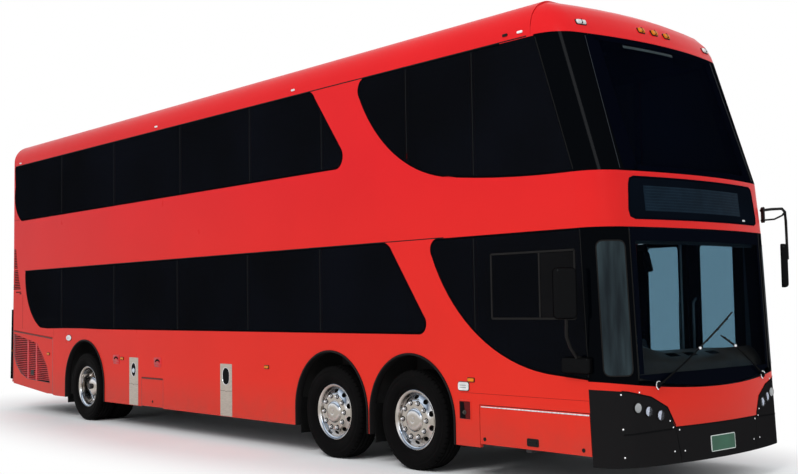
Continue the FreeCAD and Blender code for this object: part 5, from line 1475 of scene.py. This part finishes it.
def grab_poles():
    """Upright and level hand rails on both decks."""
    poles = Shape("grab_poles", "sheet_steel", "handrail", smooth=60)
    for x, y, z in FLOOR_POLES:
        poles.tube([(x, y, z), (x, y, (z + POLE_TOP) / 2), (x, y, POLE_TOP)], 0.0165, 10, up=(1, 0, 0))
        poles.lathe([(0.036, 0.0), (0.036, 0.006), (0.020, 0.012)], at(x, y, z), 16)
    for y in (-0.30, 0.28):
        poles.tube([(x, y, RAIL_Z) for x in (-5.55, -2.6, 0.4, 3.6, 4.9)], 0.015, 8)
        for x in (-5.5, -3.9, -2.3, -0.7, 0.9, 2.5, 4.1, 4.85):
            poles.tube([(x, y, RAIL_Z), (x, y, RAIL_Z + 0.08)], 0.010, 6, up=(1, 0, 0))


# ---------------------------------------------------------------- rear
LAMP_ANGLE = 17.0                # degrees round from straight behind
CLUSTER_ANGLES = (1.0, 5.0, 10.0, 16.0, 22.0, 29.0, 37.0, 45.0, 53.0, 61.0, 69.0, 77.0, 84.0, 90.0)
LAMP_COLLAR = [(0.059, -0.014), (0.058, 0.004), (0.053, 0.0055), (0.050, 0.003)]
LAMP_DOME = [(0.05, -0.014), (0.0495, 0.003), (0.04, 0.0058), (0.024, 0.0072), (0.008, 0.0076)]
LAMP_CENTRE = [(0.020, 0.0060), (0.019, 0.0084), (0.005, 0.0090)]


def rear_corner(side, angle_deg, z):
    """Place and normal on the lamp cluster, which stands a little square of the rounded rear corner."""
    a = math.radians(angle_deg)
    out = Vector((-math.cos(a), side * math.sin(a), 0.0))
    place, normal = cast(Vector((-6.02, side * 1.015, z)) + out * 1.5, -out)
    place += out * (0.0012 + 0.040 * math.sin(2 * a) ** 2)
    place.x = max(place.x, cad_low[0] + 0.0006)
    return place, (normal + out).normalized()


def rear_lamps():
    """Black clusters that wrap the rear corners, with round lenses in collars."""
    panels = Shape("rear_cluster_panels", "black_plastic", "gloss_plastic", smooth=40)
    collars = Shape("rear_lamp_collars", "black_plastic", "dark", smooth=40)
    red = Shape("rear_lamps_red", "lamp_red", smooth=40)
    amber = Shape("rear_lamps_amber", "lamp_amber", smooth=40)
    white = Shape("rear_lamps_clear", "lamp_clear", "white_lens", smooth=40)
    for side in (-1, 1):
        panels.patch([[rear_corner(side, a, z) for a in CLUSTER_ANGLES] + [on_side(-6.000, z, side)]
                      for z, in line((0.486,), (1.594,), 7)], 0.0, 0.030)
        for z, lens in ((1.500, red), (1.365, red), (1.230, amber), (1.095, red), (0.960, white)):
            spot = basis(*rear_corner(side, LAMP_ANGLE, z))
            collars.lathe(LAMP_COLLAR, spot, 32)
            lens.lathe(LAMP_DOME, spot, 32)
            lens.lathe(LAMP_CENTRE, spot, 20)
        spot = basis(*rear_corner(side, LAMP_ANGLE, 0.850))
        red.slab(rounded_box(0.046, 0.030, 0.008), spot, 0.0045, 0.002, -0.012)
        red.slab(rounded_box(0.030, 0.014, 0.006), basis(*on_rear(side * 0.98, 4.020)), 0.010, 0.004, -0.002)
    red.slab(rounded_box(0.170, 0.015, 0.007), basis(*on_rear(0.0, 3.850)), 0.010, 0.004, -0.002)


def rear_panels():
    """Rear window seal, panel joints, and the louvres, catches and reflectors of the engine door."""
    ring = rounded_box(0.880, 0.400, 0.070, 5, (0.0, 3.350))
    seal = Shape("rear_window_seal", "black_plastic", "seam")
    seal.ribbon([on_rear(*p) for p in ring + ring[:1]], 0.030, 0.003)
    joints = Shape("rear_panel_joints", "red_paint", "red_seam")
    for z in (1.640, 2.620, 3.905):
        joints.ribbon([on_rear(*p) for p in line((-1.150, z), (1.150, z), 12)], 0.005, 0.0008)
    for y in (-1.06, 1.06):
        joints.ribbon([on_rear(*p) for p in line((y, 1.640), (y, 2.620), 8)], 0.005, 0.0008)
    door = "tail_engine_door"
    slots = Shape("rear_door_slots", "black_plastic", "dark", door)
    lips = Shape("rear_door_louvres", "red_paint", None, door, smooth=50)
    catches = Shape("rear_door_catches", "black_plastic", "gloss_plastic", door, smooth=40)
    reflectors = Shape("rear_reflectors", "lamp_red", None, door)
    for low_y, high_y in ((-0.800, -0.060), (0.060, 0.800)):
        for z in [1.050 + 0.040 * k for k in range(8)]:
            row = [on_rear(*p) for p in line((low_y, z), (high_y, z), 6)]
            slots.ribbon(row, 0.018, 0.0012)
            lips.tube([p + n * 0.0025 + Vector((0, 0, 0.0115)) for p, n in row], 0.0050, 6)
    for side in (-1, 1):
        spot = basis(*on_rear(side * 0.700, 0.900))
        catches.slab(rounded_box(0.055, 0.030, 0.012), spot, 0.003, 0.001, -0.002)
        bar = [spot @ Vector((u, 0.0, w)) for u, w in ((-0.038, 0.004), (0.0, 0.0055), (0.038, 0.004))]
        catches.tube(bar, 0.0045, 8)
        spot = basis(*on_rear(side * 0.800, 0.640))
        reflectors.slab(rounded_box(0.060, 0.022, 0.006), spot, 0.0024, 0.001, -0.002)


FLAPS = (("tyre_1_", 0.585), ("tyre_2_", 0.585), ("twin_tyres_", 0.640))       # tyre, distance behind it
FLAP_SECTION = ((-0.004, 0.930), (-0.006, 1.205), (0.004, 1.205), (0.004, 0.930))


def mud_flaps():
    """Rubber flaps hung behind each wheel."""
    flaps = Shape("mud_flaps", "black_plastic", "seam")
    for side, tag in ((-1, "right"), (1, "left")):
        for name, gap in FLAPS:
            x = middle(name + tag).x - gap
            flaps.rings([[(x + dx - 0.010 * math.sin(math.pi * k / 8), side * y, 0.215 + 0.385 * k / 8)
                          for dx, y in FLAP_SECTION] for k in range(9)])


# ---------------------------------------------------------------- camera, floor and light
CAMERA_PLACE = (11.735, -8.39, 1.61)
CAMERA_TURN = (48.7, 3.7, -0.96)         # yaw, pitch and roll in degrees
CAMERA_LENS, CAMERA_SHIFT = 50.3, (-0.0075, -0.0088)
FLOOR_HALF = 150.0
SHADOW_SHAPE = (0.14, 0.40, 1.0)         # scale that makes the oval of grey floor round
WHITE = (1.0, 1.0, 1.0, 1.0)


def make_camera():
    """Eye-level view of the front and the right side, three-quarters from the front."""
    yaw, pitch, roll = [math.radians(a) for a in CAMERA_TURN]
    forward = Vector((-math.sin(yaw) * math.cos(pitch), math.cos(yaw) * math.cos(pitch), math.sin(pitch)))
    level_right = Vector((math.cos(yaw), math.sin(yaw), 0.0))
    level_up = level_right.cross(forward)
    right = math.cos(roll) * level_right + math.sin(roll) * level_up
    up = -math.sin(roll) * level_right + math.cos(roll) * level_up
    data = bpy.data.cameras.new("camera")
    data.sensor_width = 36.0
    data.lens = CAMERA_LENS
    data.shift_x, data.shift_y = CAMERA_SHIFT
    data.clip_end = 300.0
    camera = linked("camera", data)
    camera.matrix_world = at(*CAMERA_PLACE) @ Matrix((right, up, -forward)).transposed().to_4x4()
    SCENE.camera = camera


def seen_directly(tree):
    """1 for what the camera sees straight, in a mirror or through glass."""
    rays = node(tree, "LightPath").node.outputs
    straight = maths(tree, "MAXIMUM", rays["Is Camera Ray"], rays["Is Glossy Ray"])
    return maths(tree, "MAXIMUM", straight, rays["Is Transmission Ray"])


def make_floor():
    """Pale floor that keeps the shadow near the object and turns as white as the backdrop further out."""
    mesh = bpy.data.meshes.new("floor")
    mesh.from_pydata([(u, v, 0.0) for u, v in box(FLOOR_HALF, FLOOR_HALF)], [], [(0, 1, 2, 3)])
    floor = linked("floor", mesh)
    look = Look((0.9, 0.9, 0.9), 0.9, Specular_IOR_Level=0.0)
    look.mat.name = "floor"
    look.vary_color(look.noise(0.6), (0.91, 0.91, 0.91), (0.94, 0.94, 0.94))
    tree = look.tree
    squeezed = node(tree, "Mapping", {"Vector": object_coords(tree), "Scale": SHADOW_SHAPE})
    distance = node(tree, "VectorMath", {0: squeezed}, "Value", operation="LENGTH")
    fade = node(tree, "MapRange", {"Value": distance, "From Min": 0.75, "From Max": 1.35},
                interpolation_type="SMOOTHSTEP")
    white = node(tree, "Emission", {"Color": WHITE, "Strength": 1.0})
    seen = maths(tree, "MULTIPLY", seen_directly(tree), fade)
    look.surface(mixed_shader(tree, seen, look.shader.outputs["BSDF"], white))
    mesh.materials.append(look.mat)


def area_lamp(name, place, aim, size, power):
    """Soft rectangular lamp, size being its width and height."""
    data = bpy.data.lights.new(name, "AREA")
    data.shape = "RECTANGLE"
    data.size, data.size_y = size
    data.energy = power
    lamp = linked(name, data)
    lamp.visible_glossy = False
    lamp.location = place
    lamp.rotation_mode = "QUATERNION"
    lamp.rotation_quaternion = (Vector(aim) - Vector(place)).to_track_quat("-Z", "Y")
    return lamp


def make_light():
    """Pale world that is white behind the object, two large soft lamps, and one seen only in reflections."""
    world = bpy.data.worlds.new("studio")
    SCENE.world = world
    world.use_nodes = True
    tree = world.node_tree
    tree.nodes.clear()
    light = node(tree, "Background", {"Color": (0.92, 0.96, 1.0, 1.0), "Strength": 0.62})
    shown = node(tree, "Background", {"Color": WHITE, "Strength": 1.0})
    out = tree.nodes.new("ShaderNodeOutputWorld")
    tree.links.new(mixed_shader(tree, seen_directly(tree), light, shown), out.inputs["Surface"])
    area_lamp("key", (8.5, -15.5, 14.5), (0.0, 0.0, 1.5), (9.0, 9.0), 2250.0)
    area_lamp("fill", (16.0, 8.0, 12.0), (4.0, 0.0, 2.0), (8.0, 8.0), 480.0)
    glint = area_lamp("glint", (18.5, -10.8, 13.8), (6.0, -1.2, 3.3), (3.0, 10.0), 900.0)
    glint.visible_diffuse = False
    glint.visible_glossy = True


for make in (dress_cad_nodes, make_wheels, arch_lips, side_seams, window_seals, window_outlines,
             corner_windows, screen_borders, sign_detail, headlamps, bumper_detail, roof_lamps, wiper_pair,
             mirror_pair, entrance_detail, marker_lamps, recessed_handles, stainless_strips, flap_fittings,
             valve_recess, driver_window, engine_doors, corner_grilles, rear_lamps, rear_panels, mud_flaps,
             passenger_seats, driver_place, dash_top, grab_poles):
    make()
    while Shape.waiting:
        Shape.waiting[0].piece()
make_camera()
make_floor()
make_light()
SCENE.view_settings.view_transform = "Standard"
